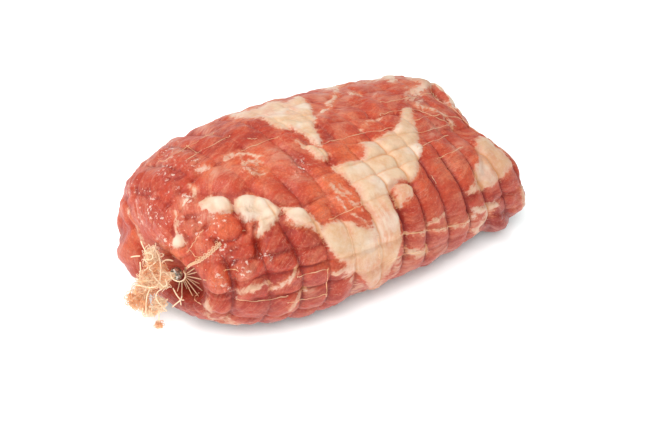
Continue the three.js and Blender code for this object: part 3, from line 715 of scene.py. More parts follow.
def mesh_object(name, vertices, faces, attributes):
    """A smooth mesh in the frame, with named values at its vertices."""
    mesh = bpy.data.meshes.new(name)
    mesh.from_pydata(to_row(vertices).tolist(), [], faces)
    mesh.polygons.foreach_set("use_smooth", np.ones(len(mesh.polygons), bool))
    for key, values in attributes.items():
        kind = "FLOAT" if values.ndim == 1 else "FLOAT_VECTOR"
        field = "value" if values.ndim == 1 else "vector"
        layer = mesh.attributes.new(key, kind, "POINT")
        layer.data.foreach_set(field, np.ascontiguousarray(values, np.float32).ravel())
    mesh.update()
    obj = bpy.data.objects.new(name, mesh)
    bpy.context.scene.collection.objects.link(obj)
    return obj


class Strands:
    """Gathers many round threads into one mesh, each with the values its vertices carry."""

    def __init__(self):
        self.vertices = []
        self.faces = []
        self.values = []
        self.count = 0

    def add(self, path, radius, sides, value, closed=False):
        path = np.asarray(path, float)
        steps = len(path)
        radius = np.broadcast_to(np.asarray(radius, float), steps)
        if closed:
            tangent = unit(np.roll(path, -1, axis=0) - np.roll(path, 1, axis=0))
        else:
            tangent = unit(np.gradient(path, axis=0))
        side = np.zeros_like(path)
        last = np.cross(tangent[0], (0.31, 0.52, 0.79))
        for step in range(steps):
            last = last - tangent[step] * (last @ tangent[step])
            last = last / max(np.linalg.norm(last), 1e-9)
            side[step] = last
        lift = np.cross(tangent, side)
        turn = np.arange(sides) / sides * 2 * math.pi
        ring = side[:, None] * np.cos(turn)[:, None] + lift[:, None] * np.sin(turn)[:, None]
        points = (path[:, None] + ring * radius[:, None, None]).reshape(-1, 3)
        points[:, 2] = np.maximum(points[:, 2], FLOOR_GAP)
        self.vertices.append(points)
        value = np.asarray(value, float)
        per_step = np.broadcast_to(value, (steps, value.shape[-1]))
        self.values.append(np.repeat(per_step, sides, axis=0))
        base = self.count
        last_step = steps if closed else steps - 1
        for step in range(last_step):
            here, after = base + step * sides, base + (step + 1) % steps * sides
            for corner in range(sides):
                turned = (corner + 1) % sides
                self.faces.append((here + corner, here + turned, after + turned, after + corner))
        if not closed:
            self.faces.append(tuple(base + corner for corner in reversed(range(sides))))
            end = base + (steps - 1) * sides
            self.faces.append(tuple(end + corner for corner in range(sides)))
        self.count += steps * sides

    def build(self, name, keys):
        values = np.concatenate(self.values)
        attributes = {key: values[:, column] for column, key in enumerate(keys)}
        return mesh_object(name, np.concatenate(self.vertices), self.faces, attributes)


# ---------------------------------------------------------------- the skin of the meat
# Rows of the skin's grid in each cell along the roll and in the caps over its poles, and columns in each
# cell round it, on the side that the photograph shows and on the other.
CELL_ROWS = [18, 20] + [17] * 12 + [12, 14, 14]
POLE_ROWS = 4
SEEN_CELLS = 10
COLUMNS_SEEN = 19
COLUMNS_HIDDEN = 11
CLUSTER = 0.5  # how strongly the rows and columns crowd towards the net's lines

BODY_HEIGHT = 2.0  # the skin's mean height over the floor of the grooves, on the body and on the ends
END_HEIGHT = 1.0
CELL_CLOSED = 2  # mm: cells narrower than this are pulled shut, and from CELL_OPEN on they bulge fully
CELL_OPEN = 16

# What the net does where it presses at 1: how far a cell's middle rises in mm, and how deep and wide the
# groove's own floor is.
HOOP_PRESS = dict(crown=2.2, dip=2.0, width=1.7)
STRAND_PRESS = dict(crown=1.7, dip=1.7, width=1.6)
CROWN_MEAN = 0.67  # the mean of the rise between two lines, taken off so that the roll keeps its size
CREASE_WIDTH = 1.2  # mm either way of the net's lines in which the meat takes its crease colour: painted shade on the lean, an orange stain on the fat

# Unevenness of the skin: the height in mm, the wavelength in mm and the seed of each noise, and the same
# of the pillows that the meat bulges in.
SWELL_NOISES = [(1.4, 34, 1.7), (0.8, 13, 4.2)]
FINE_NOISES = [(0.42, 5.2, 8.8), (0.25, 2.4, 2.6)]
PILLOWS = [(1.9, 17, 3.3), (0.9, 7.5, 8.1)]
PILLOW_MEAN = 1.2
FAT_EDGE_HEIGHT = 1.0
LUMP_STRETCH = np.array([0.62, 1, 1])  # the lumps of the meat are longer along the roll than across it
HOLLOW_REACH = 6  # rows and columns either way over which a place is compared with its surroundings, for the painted shade in hollows and the painted light on crowns

# What a pixel of the photograph shows is the mean of the nearest few of its neighbours on the skin that lie
# no more than FRONT_DEPTH mm behind the one nearest to the camera.
SIGHT_COSINE = 0.1  # between the skin and the way to the camera, from which on a place counts as seen
PIXEL_NEIGHBOURS = 12
FRONT_DEPTH = 3
NEAREST_FEW = 4

# The sides that the photograph doesn't show.
HORIZON = 0.02  # the least cosine between the skin and the way to the camera at which it shows a place
FAT_TAPER = 0.45  # how much narrower a patch of fat gets for each mm past the horizon
CARRY_LENGTH = 25  # mm past the horizon over which the other fields give way to their plain values
ALL_HIDDEN = 60  # mm: how far past the horizon a row of the skin counts that isn't seen at all
HIDDEN_PATCHES = 20
PATCH_STRETCH = np.array([0.7, 1, 1])

# Patches of fat keep off the horizon, so that none of them is seen: their depth is held to a share of the
# way past it, less a margin in mm.
PATCH_SLOPE = 0.6
PATCH_MARGIN = 14


def blurred(field, reach):
    """The mean of a field over a square of neighbours; its columns close on themselves."""
    width = 2 * reach + 1
    for axis, mode in ((0, "edge"), (1, "wrap")):
        pad = [(0, 0), (0, 0)]
        pad[axis] = (reach + 1, reach)
        total = np.moveaxis(np.cumsum(np.pad(field, pad, mode=mode), axis=axis), axis, 0)
        field = np.moveaxis((total[width:] - total[:-width]) / width, 0, axis)
    return field


def crowded(count):
    """Places from 0 to 1 that crowd towards both ends."""
    share = np.arange(count) / count
    return share - CLUSTER * np.sin(2 * math.pi * share) / (2 * math.pi)


def mesh_rings():
    """The ring number of each row of the skin's grid."""
    near_pole = -NEAR_CAP_SCALES[0] / (NEAR_CAP_SCALES[1] - NEAR_CAP_SCALES[0])
    far_pole = LAST_RING + FAR_CAP_SCALES[2] / (FAR_CAP_SCALES[1] - FAR_CAP_SCALES[2])
    rings = list(np.linspace(near_pole, 0, POLE_ROWS + 1)[1:-1])
    for cell, rows in enumerate(CELL_ROWS):
        rings.extend(cell + crowded(rows))
    rings.extend(np.linspace(LAST_RING, far_pole, POLE_ROWS + 1)[:-1])
    return np.array(rings)


def mesh_strands():
    """The strand number of each column of the skin's grid."""
    strands = []
    for cell in range(STRAND_COUNT):
        strands.extend(cell + crowded(COLUMNS_SEEN if cell < SEEN_CELLS else COLUMNS_HIDDEN))
    return np.array(strands)


RINGS = mesh_rings()
COLUMNS = mesh_strands()


def run_lengths(points):
    """How far it is along the first axis of a grid of points, from its start to each."""
    steps = np.linalg.norm(np.diff(points, axis=0), axis=2)
    return np.concatenate([np.zeros((1, points.shape[1])), np.cumsum(steps, axis=0)])


def cell_distances(numbers, lengths, closed):
    """Distances in mm along the grid's first axis to the lattice line before and the one after."""
    whole = np.flatnonzero(np.isclose(numbers, np.round(numbers)))
    before = np.searchsorted(numbers[whole], numbers + 1e-6, side="right") - 1
    marks = lengths[whole]
    if closed:
        marks = np.concatenate([marks, lengths[-1:]])
    low = marks[np.clip(before, 0, len(marks) - 1)]
    high = marks[np.clip(before + 1, 0, len(marks) - 1)]
    here = lengths[:len(numbers)]
    return np.abs(here - low), np.abs(high - here), np.abs(high - low)


def carry_past_horizon(fields, facing, points):
    """Fills in the fields of places that aren't facing the camera, row by row, from the nearest that are.

    Gives back how far past the horizon each place is.
    """
    beyond = np.zeros(facing.shape)
    step = np.linalg.norm(points - np.roll(points, 1, axis=1), axis=2)
    run = np.cumsum(step, axis=1)
    girth = run[:, -1] + step[:, 0]
    for row in range(len(points)):
        seen = np.flatnonzero(facing[row])
        hidden = np.flatnonzero(~facing[row])
        if len(seen) == 0:
            fields[row] = PLAIN_FIELDS
            beyond[row] = ALL_HIDDEN
            continue
        gap = np.abs(run[row][hidden][:, None] - run[row][seen][None])
        gap = np.minimum(gap, girth[row] - gap)
        nearest = gap.argmin(1)
        away = gap[np.arange(len(hidden)), nearest]
        beyond[row, hidden] = away
        fields[row, hidden] = fields[row, seen[nearest]]
        fields[row, hidden, :2] -= FAT_TAPER * away[:, None]
        fade = np.exp(-away / CARRY_LENGTH)[:, None]
        fields[row, hidden, 2:] = fields[row, hidden, 2:] * fade + (1 - fade) * PLAIN_FIELDS[2:]
    return beyond


class Skin:
    """The meat's surface on the net's lattice, with what each place of it carries."""

    def __init__(self):
        ring, strand = np.meshgrid(RINGS, COLUMNS, indexing="ij")
        self.place = lattice_place(ring, strand)
        free = free_point(*self.place)
        self.normal = surface_normal(*self.place)
        _, scale = station_at(self.place[0])
        muscle = bumps_at(free, MUSCLES) * smoothstep(scale, 0.1, 0.45)
        floor_point = free + self.normal * (muscle - GROOVE_DEPTH)[..., None]
        self.look(floor_point)
        self.hidden_patches(floor_point)
        points = floor_point + self.normal * self.relief(free, ring, scale)[..., None]
        points[..., 2] = np.maximum(points[..., 2], 0)
        self.points = points
        sight = unit(CAMERA_PLACE - points)
        facing = np.einsum("ijk,ijk->ij", sight, self.normal) > SIGHT_COSINE
        self.seen_points = points[facing]
        self.seen_normals = self.normal[facing]
        self.seen_pixels = to_image(self.seen_points)

    def look(self, points):
        """Fat, tone and press of the net, from the photograph, carried on past the horizon."""
        facing = np.einsum("ijk,ijk->ij", unit(CAMERA_PLACE - points), self.normal) > HORIZON
        fields = seen_fields(to_image(points.reshape(-1, 3))).reshape(*points.shape[:2], -1)
        self.beyond = carry_past_horizon(fields, facing, points)
        fields = np.moveaxis(fields, 2, 0)
        self.fat, self.marbled, self.tone, self.press_hoop, self.press_strand = fields[:5]
        self.lumpy, self.fibre, self.wet, self.blush, self.film, self.lift = fields[5:]

    def hidden_patches(self, points):
        """Fat on the sides that the photograph doesn't show, of the same sizes and shapes as on the rest."""
        patches = np.full(points.shape[:2], -20.0)
        uneven = warped(points, 5, 14, (3.1, 7.7, 12.9))
        for _ in range(HIDDEN_PATCHES):
            ring = RANDOM.uniform(1.5, LAST_RING - 0.5)
            strand = RANDOM.uniform(SEEN_CELLS - 0.5, STRAND_COUNT + 0.5)
            lobes = RANDOM.integers(3, 8)
            drift = RANDOM.normal(0, 1, 2) * (0.5, 0.35)
            for _ in range(lobes):
                centre = free_point(*lattice_place(ring, strand))
                reach = RANDOM.uniform(2, 9)
                depth = reach - np.linalg.norm((uneven - centre) * PATCH_STRETCH, axis=-1)
                patches = np.maximum(patches, depth)
                ring = np.clip(ring + drift[0] + RANDOM.normal(0, 0.3), 0.5, LAST_RING - 0.3)
                strand += drift[1] + RANDOM.normal(0, 0.25)
        patches = np.minimum(patches, self.beyond * PATCH_SLOPE - PATCH_MARGIN)
        self.fat = np.maximum(self.fat, patches)
        share = smoothstep(self.beyond, 3, 30)
        self.tone = self.tone + share * (1.1 * noise_at(points, 45, 21.3))
        self.wet = self.wet + share * smoothstep(noise_at(points, 22, 33.1), 0.15, 0.4)

    def relief(self, free, ring, scale):
        """Height over the floor of the net's grooves."""
        hoops = cell_distances(RINGS, run_lengths(free), False)
        closed = np.concatenate([free, free[:, :1]], axis=1).swapaxes(0, 1)
        strands = [distance.T for distance in cell_distances(COLUMNS, run_lengths(closed), True)]
        inside = (ring > 0) & (ring < LAST_RING)
        narrowest = np.minimum(np.where(inside, hoops[2], 1), strands[2])
        openness = smoothstep(narrowest, CELL_CLOSED, CELL_OPEN)
        uneven = 1 + 0.5 * noise_at(free, 30, 5.5)
        net, dips, self.crease = 0, 0, 0
        for (low, high, cell), field, press in (
            (hoops, self.press_hoop, HOOP_PRESS),
            (strands, self.press_strand, STRAND_PRESS),
        ):
            strength = field * openness * uneven
            share = low / np.maximum(cell, 1e-6)
            away = np.minimum(low, high)
            net += press["crown"] * strength * (4 * share * (1 - share) - CROWN_MEAN)
            dips += press["dip"] * strength * np.exp(-((away / press["width"]) ** 1.3))
            self.crease = np.maximum(self.crease, strength * np.exp(-((away / CREASE_WIDTH) ** 1.5)))
        stretched = warped(free, 3, 9, (2.2, 6.1, 9.4)) * LUMP_STRETCH
        pillows = sum(tall * cell_ridges(stretched, size, seed) for tall, size, seed in PILLOWS)
        on_fat = smoothstep(self.fat, -1, 1)
        lumps = self.lumpy * (1 - 0.6 * on_fat) * (pillows - PILLOW_MEAN)
        swell = noise_sum(free, SWELL_NOISES) + lumps
        fine = noise_sum(free, FINE_NOISES)
        fat_edge = FAT_EDGE_HEIGHT * (smoothstep(self.fat, -0.5, 1.5) + on_fat * noise_at(free, 7, 15))
        on_body = smoothstep(ring, 1.2, 3) * (1 - smoothstep(ring, LAST_HOOP - 0.5, LAST_HOOP + 0.6))
        base = END_HEIGHT + (BODY_HEIGHT - END_HEIGHT) * on_body
        height = base * openness + net - dips + self.lift + (swell + fine) * openness + fat_edge
        height = height * smoothstep(scale, 0.03, 0.2)
        # How far a place lies below its surroundings, which the lean's painted shade in hollows and painted
        # light on crowns follow.
        self.hollow = np.clip(blurred(height, HOLLOW_REACH) - height, -1.5, 1.5)
        return height

    def values(self):
        """What the material reads at each vertex."""
        _, scale = station_at(self.place[0])
        grain = np.stack([
            RINGS[:, None] * HOOP_SPACING + np.zeros_like(self.fat),
            (self.place[1] % (2 * math.pi)) * HALF_WIDTH_ENDS * np.maximum(scale, 0.3),
            np.zeros_like(self.fat),
        ], -1)
        keys = ("fat", "marbled", "tone", "crease", "wet", "blush", "fibre", "hollow", "film")
        values = {key: getattr(self, key).ravel() for key in keys}
        values["grain"] = grain.reshape(-1, 3)
        return values

    def build(self):
        rows, columns = self.points.shape[:2]
        near_pole = self.points[0].mean(0)
        far_pole = self.points[-1].mean(0)
        vertices = np.concatenate([self.points.reshape(-1, 3), [near_pole, far_pole]])
        index = np.arange(rows * columns).reshape(rows, columns)
        after = np.roll(index, -1, axis=1)
        quads = np.stack([index[:-1], after[:-1], after[1:], index[1:]], -1).reshape(-1, 4)
        faces = [tuple(quad) for quad in quads.tolist()]
        for column in range(columns):
            faces.append((rows * columns, int(after[0, column]), int(index[0, column])))
            faces.append((rows * columns + 1, int(index[-1, column]), int(after[-1, column])))
        values = {}
        for key, value in self.values().items():
            ends = np.stack([value[:columns].mean(0), value[-columns:].mean(0)])
            values[key] = np.concatenate([value, ends])
        return mesh_object("meat_skin", vertices, faces, values)

    def under_pixels(self, pixels, height):
        """The places on the skin that pixels of the photograph show, raised off it by a height."""
        places = []
        depths = (self.seen_points - CAMERA_PLACE) @ CAMERA_FORWARD
        for pixel in np.asarray(pixels, float):
            gaps = np.linalg.norm(self.seen_pixels - pixel, axis=1)
            nearest = np.argsort(gaps)[:PIXEL_NEIGHBOURS]
            in_front = depths[nearest] < depths[nearest].min() + FRONT_DEPTH
            nearest = nearest[in_front][:NEAREST_FEW]
            weights = 1 / (gaps[nearest] + 0.1)
            raised = self.seen_points[nearest] + self.seen_normals[nearest] * height
            places.append(weights @ raised / weights.sum())
        return np.array(places)

    def on_surface(self, ring, strand, height=0.0):
        """Points over the skin at lattice places, the fat there and how far past the horizon each is."""
        strand = np.mod(strand, STRAND_COUNT)
        row = np.interp(ring, RINGS, np.arange(len(RINGS)))
        columns = np.concatenate([COLUMNS, [STRAND_COUNT]])
        column = np.interp(strand, columns, np.arange(len(columns)))
        low_row = np.clip(np.floor(row).astype(int), 0, len(RINGS) - 2)
        low_column = np.floor(column).astype(int)
        row_share = (row - low_row)[..., None]
        column_share = (column - low_column)[..., None]
        low_column = low_column % len(COLUMNS)
        next_column = (low_column + 1) % len(COLUMNS)

        def read(field):
            field = field.reshape(len(RINGS), len(COLUMNS), -1)
            first = field[low_row, low_column] * (1 - column_share)
            first = first + field[low_row, next_column] * column_share
            second = field[low_row + 1, low_column] * (1 - column_share)
            second = second + field[low_row + 1, next_column] * column_share
            return first * (1 - row_share) + second * row_share

        place = read(self.points) + read(self.normal) * height
        return place, read(self.fat)[..., 0], read(self.beyond)[..., 0]


# ---------------------------------------------------------------- materials
class Nodes:
    """Short names for the shader nodes that the materials use."""

    def __init__(self, name):
        self.material = bpy.data.materials.new(name)
        self.material.use_nodes = True
        self.tree = self.material.node_tree
        self.tree.nodes.clear()
        output = self.tree.nodes.new("ShaderNodeOutputMaterial")
        self.shader = self.tree.nodes.new("ShaderNodeBsdfPrincipled")
        self.tree.links.new(self.shader.outputs[0], output.inputs[0])

    def fill(self, node, inputs):
        """Gives each named or numbered input of a node a value or a link."""
        for name, value in inputs.items():
            socket = node.inputs[name]
            if isinstance(value, bpy.types.NodeSocket):
                self.tree.links.new(value, socket)
            elif socket.type == "RGBA":
                socket.default_value = (*value, 1)
            else:
                socket.default_value = value

    def new(self, kind, inputs):
        node = self.tree.nodes.new("ShaderNode" + kind)
        self.fill(node, inputs)
        return node

    def attribute(self, name, output="Fac"):
        node = self.new("Attribute", {})
        node.attribute_name = name
        return node.outputs[output]

    def position(self):
        return self.new("TexCoord", {}).outputs["Object"]

    def scaled(self, vector, scale, shift=(0, 0, 0)):
        return self.new("Mapping", {"Vector": vector, "Scale": scale, "Location": shift}).outputs[0]

    def noise(self, vector, scale, detail=2.0, roughness=0.5, distortion=0.0):
        inputs = {"Vector": vector, "Scale": scale, "Detail": detail, "Roughness": roughness}
        return self.new("TexNoise", {**inputs, "Distortion": distortion}).outputs["Fac"]

    def cells(self, vector, scale):
        return self.new("TexVoronoi", {"Vector": vector, "Scale": scale}).outputs["Distance"]

    def parts(self, vector):
        return self.new("SeparateXYZ", {0: vector}).outputs

    def math(self, operation, a, b=0.0):
        node = self.new("Math", {0: a, 1: b})
        node.operation = operation
        return node.outputs[0]

    def add(self, a, b):
        return self.math("ADD", a, b)

    def times(self, a, b):
        return self.math("MULTIPLY", a, b)

    def swing(self, value, reach):
        """A noise about 0 instead of a half, times a reach."""
        return self.times(self.add(value, -0.5), reach)

    def step(self, value, low, high, start=0.0, finish=1.0):
        """A soft step from one value to another, as a value goes from low to high."""
        inputs = {"Value": value, "From Min": low, "From Max": high, "To Min": start, "To Max": finish}
        node = self.new("MapRange", inputs)
        node.interpolation_type = "SMOOTHSTEP"
        return node.outputs[0]

    def mix(self, share, a, b, blend="MIX"):
        node = self.tree.nodes.new("ShaderNodeMix")
        node.data_type = "RGBA"
        node.blend_type = blend
        self.fill(node, {0: share, 6: a, 7: b})
        return node.outputs[2]

    def bump(self, height, strength, distance, under=None):
        """Bumps of a height in metres, on top of those of an earlier normal where one is given."""
        node = self.new("Bump", {"Strength": strength, "Distance": distance, "Height": height})
        if under is not None:
            self.fill(node, {"Normal": under})
        return node.outputs[0]

    def set(self, **sockets):
        """Sets the shader's own sockets, whose names are written with underscores."""
        self.fill(self.shader, {name.replace("_", " "): value for name, value in sockets.items()})


def linear(red, green, blue):
    """A colour given as 8-bit screen values, in the linear values that a shader takes."""
    screen = [value / 255 for value in (red, green, blue)]
    return tuple(one / 12.92 if one <= 0.04045 else ((one + 0.055) / 1.055) ** 2.4 for one in screen)


LEAN_DEEP = linear(166, 42, 24)
LEAN_MIDDLE = linear(206, 72, 42)
LEAN_BRIGHT = linear(234, 108, 66)
LEAN_PALE = linear(236, 154, 116)
LEAN_ORANGE = linear(242, 122, 70)
FAT_CREAM = linear(240, 204, 168)
FAT_WARM = linear(234, 186, 142)
FAT_WHITE = linear(248, 226, 204)
FAT_PINK = linear(228, 162, 136)
FAT_BLUSH = linear(232, 160, 124)
FAT_RIM = linear(232, 134, 92)
# Partly painted sheen: the pale film on the top edges and the crowns of lumps.
FILM_AND_SHEEN_PINK = linear(234, 170, 142)
# Painted shade in the lean's creases; the fat's crease colour is an orange stain.
LEAN_CREASE_SHADE = linear(136, 30, 24)
CREASE_FAT = linear(232, 166, 114)
# Painted highlights on the wet places.
GLINT = linear(255, 226, 208)
UNDERSIDE_SHADE = (0.62, 0.46, 0.42)  # painted shade: what the lower meat keeps of each colour
CONTACT_SHADE = (0.4, 0.28, 0.26)  # painted contact shadow: what is left of it where the meat meets the table
NET_CREAM = linear(246, 212, 176)
NET_ORANGE = linear(238, 178, 138)
NET_RED = linear(196, 84, 62)
NET_STAIN = linear(240, 182, 130)
TAIL_CREAM = linear(250, 218, 182)
TAIL_PEACH = linear(240, 168, 120)
TAIL_GLOW = 0.1  # stands in for the light that passes on from thread to thread
METAL_PALE = (0.66, 0.61, 0.53)
METAL_DARK = (0.2, 0.165, 0.125)
FLOOR_PALE = (0.84, 0.9, 0.9)
FLOOR_GLOW = 0.03

# In the materials, a noise's scale is in turns a metre. Along and across the fibres it is in turns a mm.
FIBRE_BEND = 75.0  # mm: how far aside the fibres' slow wave carries them


def along_fibres(n):
    """Places on the meat by its fibres, which run along the roll and bend with a slow wave."""
    grain = n.attribute("grain", "Vector")
    bend = n.noise(n.scaled(grain, (0.014, 0.018, 0.02)), 1.0, 1.5)
    along, aside, _ = n.parts(grain)
    return n.new("CombineXYZ", {0: along, 1: n.add(aside, n.times(bend, FIBRE_BEND))}).outputs[0]


class MeatLook:
    """The raw meat's colour and bumps, from what the skin carries and from noises."""

    def __init__(self):
        n = Nodes("raw_pork")
        self.nodes = n
        self.place = n.position()
        self.fibre_place = along_fibres(n)
        self.fibres = self.drawn((0.06, 0.7), (0, 0), 5.0, 0.62)
        self.strips = self.drawn((0.03, 0.2), (5, 9), 3.0, 0.55)
        self.mottle = n.noise(self.place, 60.0, 4.0, 0.6)
        self.fibre = n.attribute("fibre")
        self.wet = n.attribute("wet")
        self.blush = n.attribute("blush")
        self.film = n.attribute("film")

    def drawn(self, scale, shift, detail, roughness=0.5, distortion=0.0):
        """A noise that is drawn out along the fibres or across them."""
        placed = self.nodes.scaled(self.fibre_place, (*scale, 1), (*shift, 0))
        return self.nodes.noise(placed, 1.0, detail, roughness, distortion)

    def ridge(self, scale, shift, width):
        """Thin winding lines, where a noise passes its middle."""
        wave = self.drawn(scale, shift, 4.0, 0.6, 0.5)
        return self.nodes.step(self.nodes.math("ABSOLUTE", self.nodes.add(wave, -0.5)), width, 0.0)

    def tone(self):
        """How bright the lean is: deep red at -1.2, a middle red at 0.1, orange red at 1.4."""
        n = self.nodes
        patches = self.drawn((0.035, 0.075), (2, 7), 3.0, 0.55, 0.4)
        hollow = n.attribute("hollow")
        tone = n.add(n.attribute("tone"), n.swing(self.mottle, 1.5))
        tone = n.add(tone, n.times(self.fibre, n.swing(self.strips, 2.0)))
        tone = n.add(tone, n.times(self.fibre, n.swing(self.fibres, 1.3)))
        tone = n.add(tone, n.step(patches, 0.42, 0.58, -0.3, 0.3))
        # Painted shade: deeper in the skin's hollows; painted light: a little brighter on its crowns.
        hollow_shade = n.step(hollow, 0.0, 1.3, 0.0, -0.9)
        return n.add(tone, n.add(hollow_shade, n.step(hollow, -1.2, 0.0, 0.3, 0.0)))

    def lean(self):
        """The lean's colour, with its haze, speckles, seams, veins and a pale film that is partly painted
        sheen.
        """
        n = self.nodes
        tone = self.tone()
        colour = n.mix(n.step(tone, -1.2, 0.1), LEAN_DEEP, LEAN_MIDDLE)
        colour = n.mix(n.step(tone, 0.1, 1.4), colour, LEAN_BRIGHT)
        haze = n.step(self.drawn((0.05, 0.11), (17, 3), 5.0, 0.65, 0.6), 0.46, 0.64, 0.0, 0.5)
        haze = n.times(haze, n.step(tone, -1.0, 0.3, 0.25, 1.0))
        haze = n.times(haze, n.step(self.fibre, 0.0, 0.5, 0.3, 1.0))
        colour = n.mix(haze, colour, LEAN_PALE)
        orange = n.times(self.blush, n.step(self.strips, 0.35, 0.6, 0.3, 0.9))
        colour = n.mix(orange, colour, LEAN_ORANGE)
        deep_specks = n.step(n.noise(self.place, 700.0, 3.0, 0.7), 0.35, 0.65, 0.0, 0.32)
        colour = n.mix(deep_specks, colour, LEAN_DEEP)
        pale_specks = n.step(n.noise(self.place, 520.0, 3.0, 0.7), 0.52, 0.7, 0.0, 0.35)
        colour = n.mix(pale_specks, colour, LEAN_PALE)
        seams = self.ridge((0.03, 0.16), (41, 23), 0.012)
        colour = n.mix(n.times(seams, 0.35), colour, LEAN_DEEP)
        veins = self.ridge((0.06, 0.3), (31, 17), 0.014)
        colour = n.mix(n.times(veins, n.step(self.mottle, 0.46, 0.6, 0.0, 0.55)), colour, FAT_PINK)
        # The pale film, partly painted sheen along the top edges and painted highlights on the crowns of
        # lumps.
        film_and_sheen_streaks = n.step(self.drawn((0.07, 0.22), (13, 6), 5.0, 0.65, 0.8), 0.4, 0.6, 0.1, 0.7)
        return n.mix(n.times(self.film, film_and_sheen_streaks), colour, FILM_AND_SHEEN_PINK)

    def fat_depth(self):
        """How far inside the fat a place is in mm, with an edge that is ragged along the fibres."""
        n = self.nodes
        coarse = n.noise(self.place, 130.0, 6.0, 0.75)
        ragged = n.add(coarse, n.add(n.times(n.noise(self.place, 330.0, 3.0, 0.6), 0.7), -0.85))
        feather = n.swing(self.drawn((0.14, 0.7), (3, 3), 3.0), 3.0)
        return n.add(n.attribute("fat"), n.add(n.times(ragged, 6.5), feather))

    def fat(self, depth):
        """The fat's colour: cream, with warm, white, blushed and pink places, a pink edge and a white film
        that is partly painted sheen.
        """
        n = self.nodes
        colour = n.mix(n.step(n.noise(self.place, 80.0, 3.0), 0.4, 0.64), FAT_CREAM, FAT_WARM)
        colour = n.mix(n.step(n.noise(self.place, 50.0, 2.0, 0.5, 0.4), 0.5, 0.68), colour, FAT_WHITE)
        stripes = n.step(self.drawn((0.35, 0.06), (9, 4), 4.0, 0.6), 0.38, 0.6, 0.25, 0.95)
        colour = n.mix(n.times(self.blush, stripes), colour, FAT_BLUSH)
        tint = n.step(n.noise(self.place, 38.0, 4.0, 0.6, 0.5), 0.52, 0.66, 0.0, 0.4)
        colour = n.mix(tint, colour, FAT_PINK)
        colour = n.mix(n.step(depth, 3.2, 0.0, 0.0, 0.65), colour, FAT_PINK)
        grit = n.step(n.noise(self.place, 420.0, 3.0, 0.7), 0.4, 0.7, 0.0, 0.3)
        colour = n.mix(grit, colour, FAT_WHITE)
        # The film whitens the fat: partly painted highlights on the crowns of its lumps.
        return n.mix(n.times(self.film, 0.85), colour, FAT_WHITE)

    def colour(self):
        """Lean and fat together, with the net's creases, painted glints on the wet places, and painted shade
        on the lower meat and where it meets the table.
        """
        n = self.nodes
        depth = self.fat_depth()
        crease = n.attribute("crease")
        broken = n.step(n.noise(self.place, 70.0, 3.0), 0.4, 0.62, 0.1, 0.75)
        lean = n.mix(n.times(n.step(depth, -2.4, -0.2), broken), self.lean(), FAT_RIM)
        # Painted shade in the creases on the lean; on the fat, an orange stain along them.
        lean = n.mix(n.step(crease, 0.25, 1.1, 0.0, 0.9), lean, LEAN_CREASE_SHADE)
        fat = n.mix(n.step(crease, 0.12, 0.6, 0.0, 0.8), self.fat(depth), CREASE_FAT)
        marbling = n.step(self.drawn((0.1, 0.32), (8, 1), 4.0, 0.6), 0.47, 0.53, 0.1, 0.85)
        marbling = n.times(n.step(n.attribute("marbled"), -1.5, 1.0), marbling)
        colour = n.mix(n.math("MAXIMUM", n.step(depth, -0.8, 0.8), marbling), lean, fat)
        # Painted highlights: pale specks on the wet places.
        glints = n.step(n.noise(self.place, 360.0, 3.0, 0.6), 0.59, 0.64)
        colour = n.mix(n.times(glints, n.step(self.wet, 0.15, 0.7, 0.0, 0.8)), colour, GLINT)
        # Painted shade: darker towards the floor, and darkest where the meat meets the table.
        height = n.parts(self.place)[2]
        colour = n.mix(n.step(height, 0.0, 0.1, 0.95, 0.0), colour, UNDERSIDE_SHADE, "MULTIPLY")
        return n.mix(n.step(height, 0.004, 0.016, 0.95, 0.0), colour, CONTACT_SHADE, "MULTIPLY")

    def bumps(self):
        """Fibres and grain, then ripples and beads of wet."""
        n = self.nodes
        fine = n.times(n.times(self.fibres, self.fibre), 0.8)
        fine = n.add(fine, n.times(n.noise(self.place, 800.0, 2.0), 0.3))
        normal = n.bump(fine, 0.45, 0.0012)
        ripples = n.times(n.noise(self.place, 330.0, 3.0, 0.6), n.step(self.wet, 0.0, 1.0, 0.3, 1.0))
        normal = n.bump(ripples, 0.7, 0.0022, normal)
        beads = n.times(n.step(n.cells(self.place, 300.0), 0.0, 0.7), n.step(self.wet, 0.1, 0.8))
        return n.bump(beads, 0.5, 0.0012, normal)


def meat_material():
    look = MeatLook()
    n = look.nodes
    normal = look.bumps()
    n.set(Base_Color=look.colour(), Roughness=0.48, Normal=normal, Specular_IOR_Level=0.3)
    n.set(Sheen_Weight=0.08, Sheen_Roughness=0.35, Sheen_Tint=(1.0, 0.75, 0.6))
    n.set(Subsurface_Weight=0.1, Subsurface_Scale=0.004, Subsurface_Radius=(1.0, 0.35, 0.22))
    n.set(Coat_Weight=n.step(look.wet, 0.0, 1.0, 0.18, 0.45), Coat_Roughness=0.15, Coat_Normal=normal)
    return n.material


def net_material():
    n = Nodes("net_thread")
    place = n.position()
    streak = n.noise(place, 900.0, 3.0)
    cream = n.mix(streak, NET_CREAM, NET_ORANGE)
    stained = n.mix(n.step(n.attribute("fat"), -1.0, 1.0), NET_RED, NET_STAIN)
    clean = n.add(n.attribute("clean"), n.swing(n.noise(place, 90.0, 3.0), 1.6))
    colour = n.mix(n.step(clean, 0.3, 0.8), stained, cream)
    n.set(Base_Color=colour, Roughness=0.6, Normal=n.bump(streak, 0.5, 0.0003))
    n.set(Subsurface_Weight=0.15, Subsurface_Scale=0.002, Subsurface_Radius=(1.0, 0.5, 0.3))
    return n.material


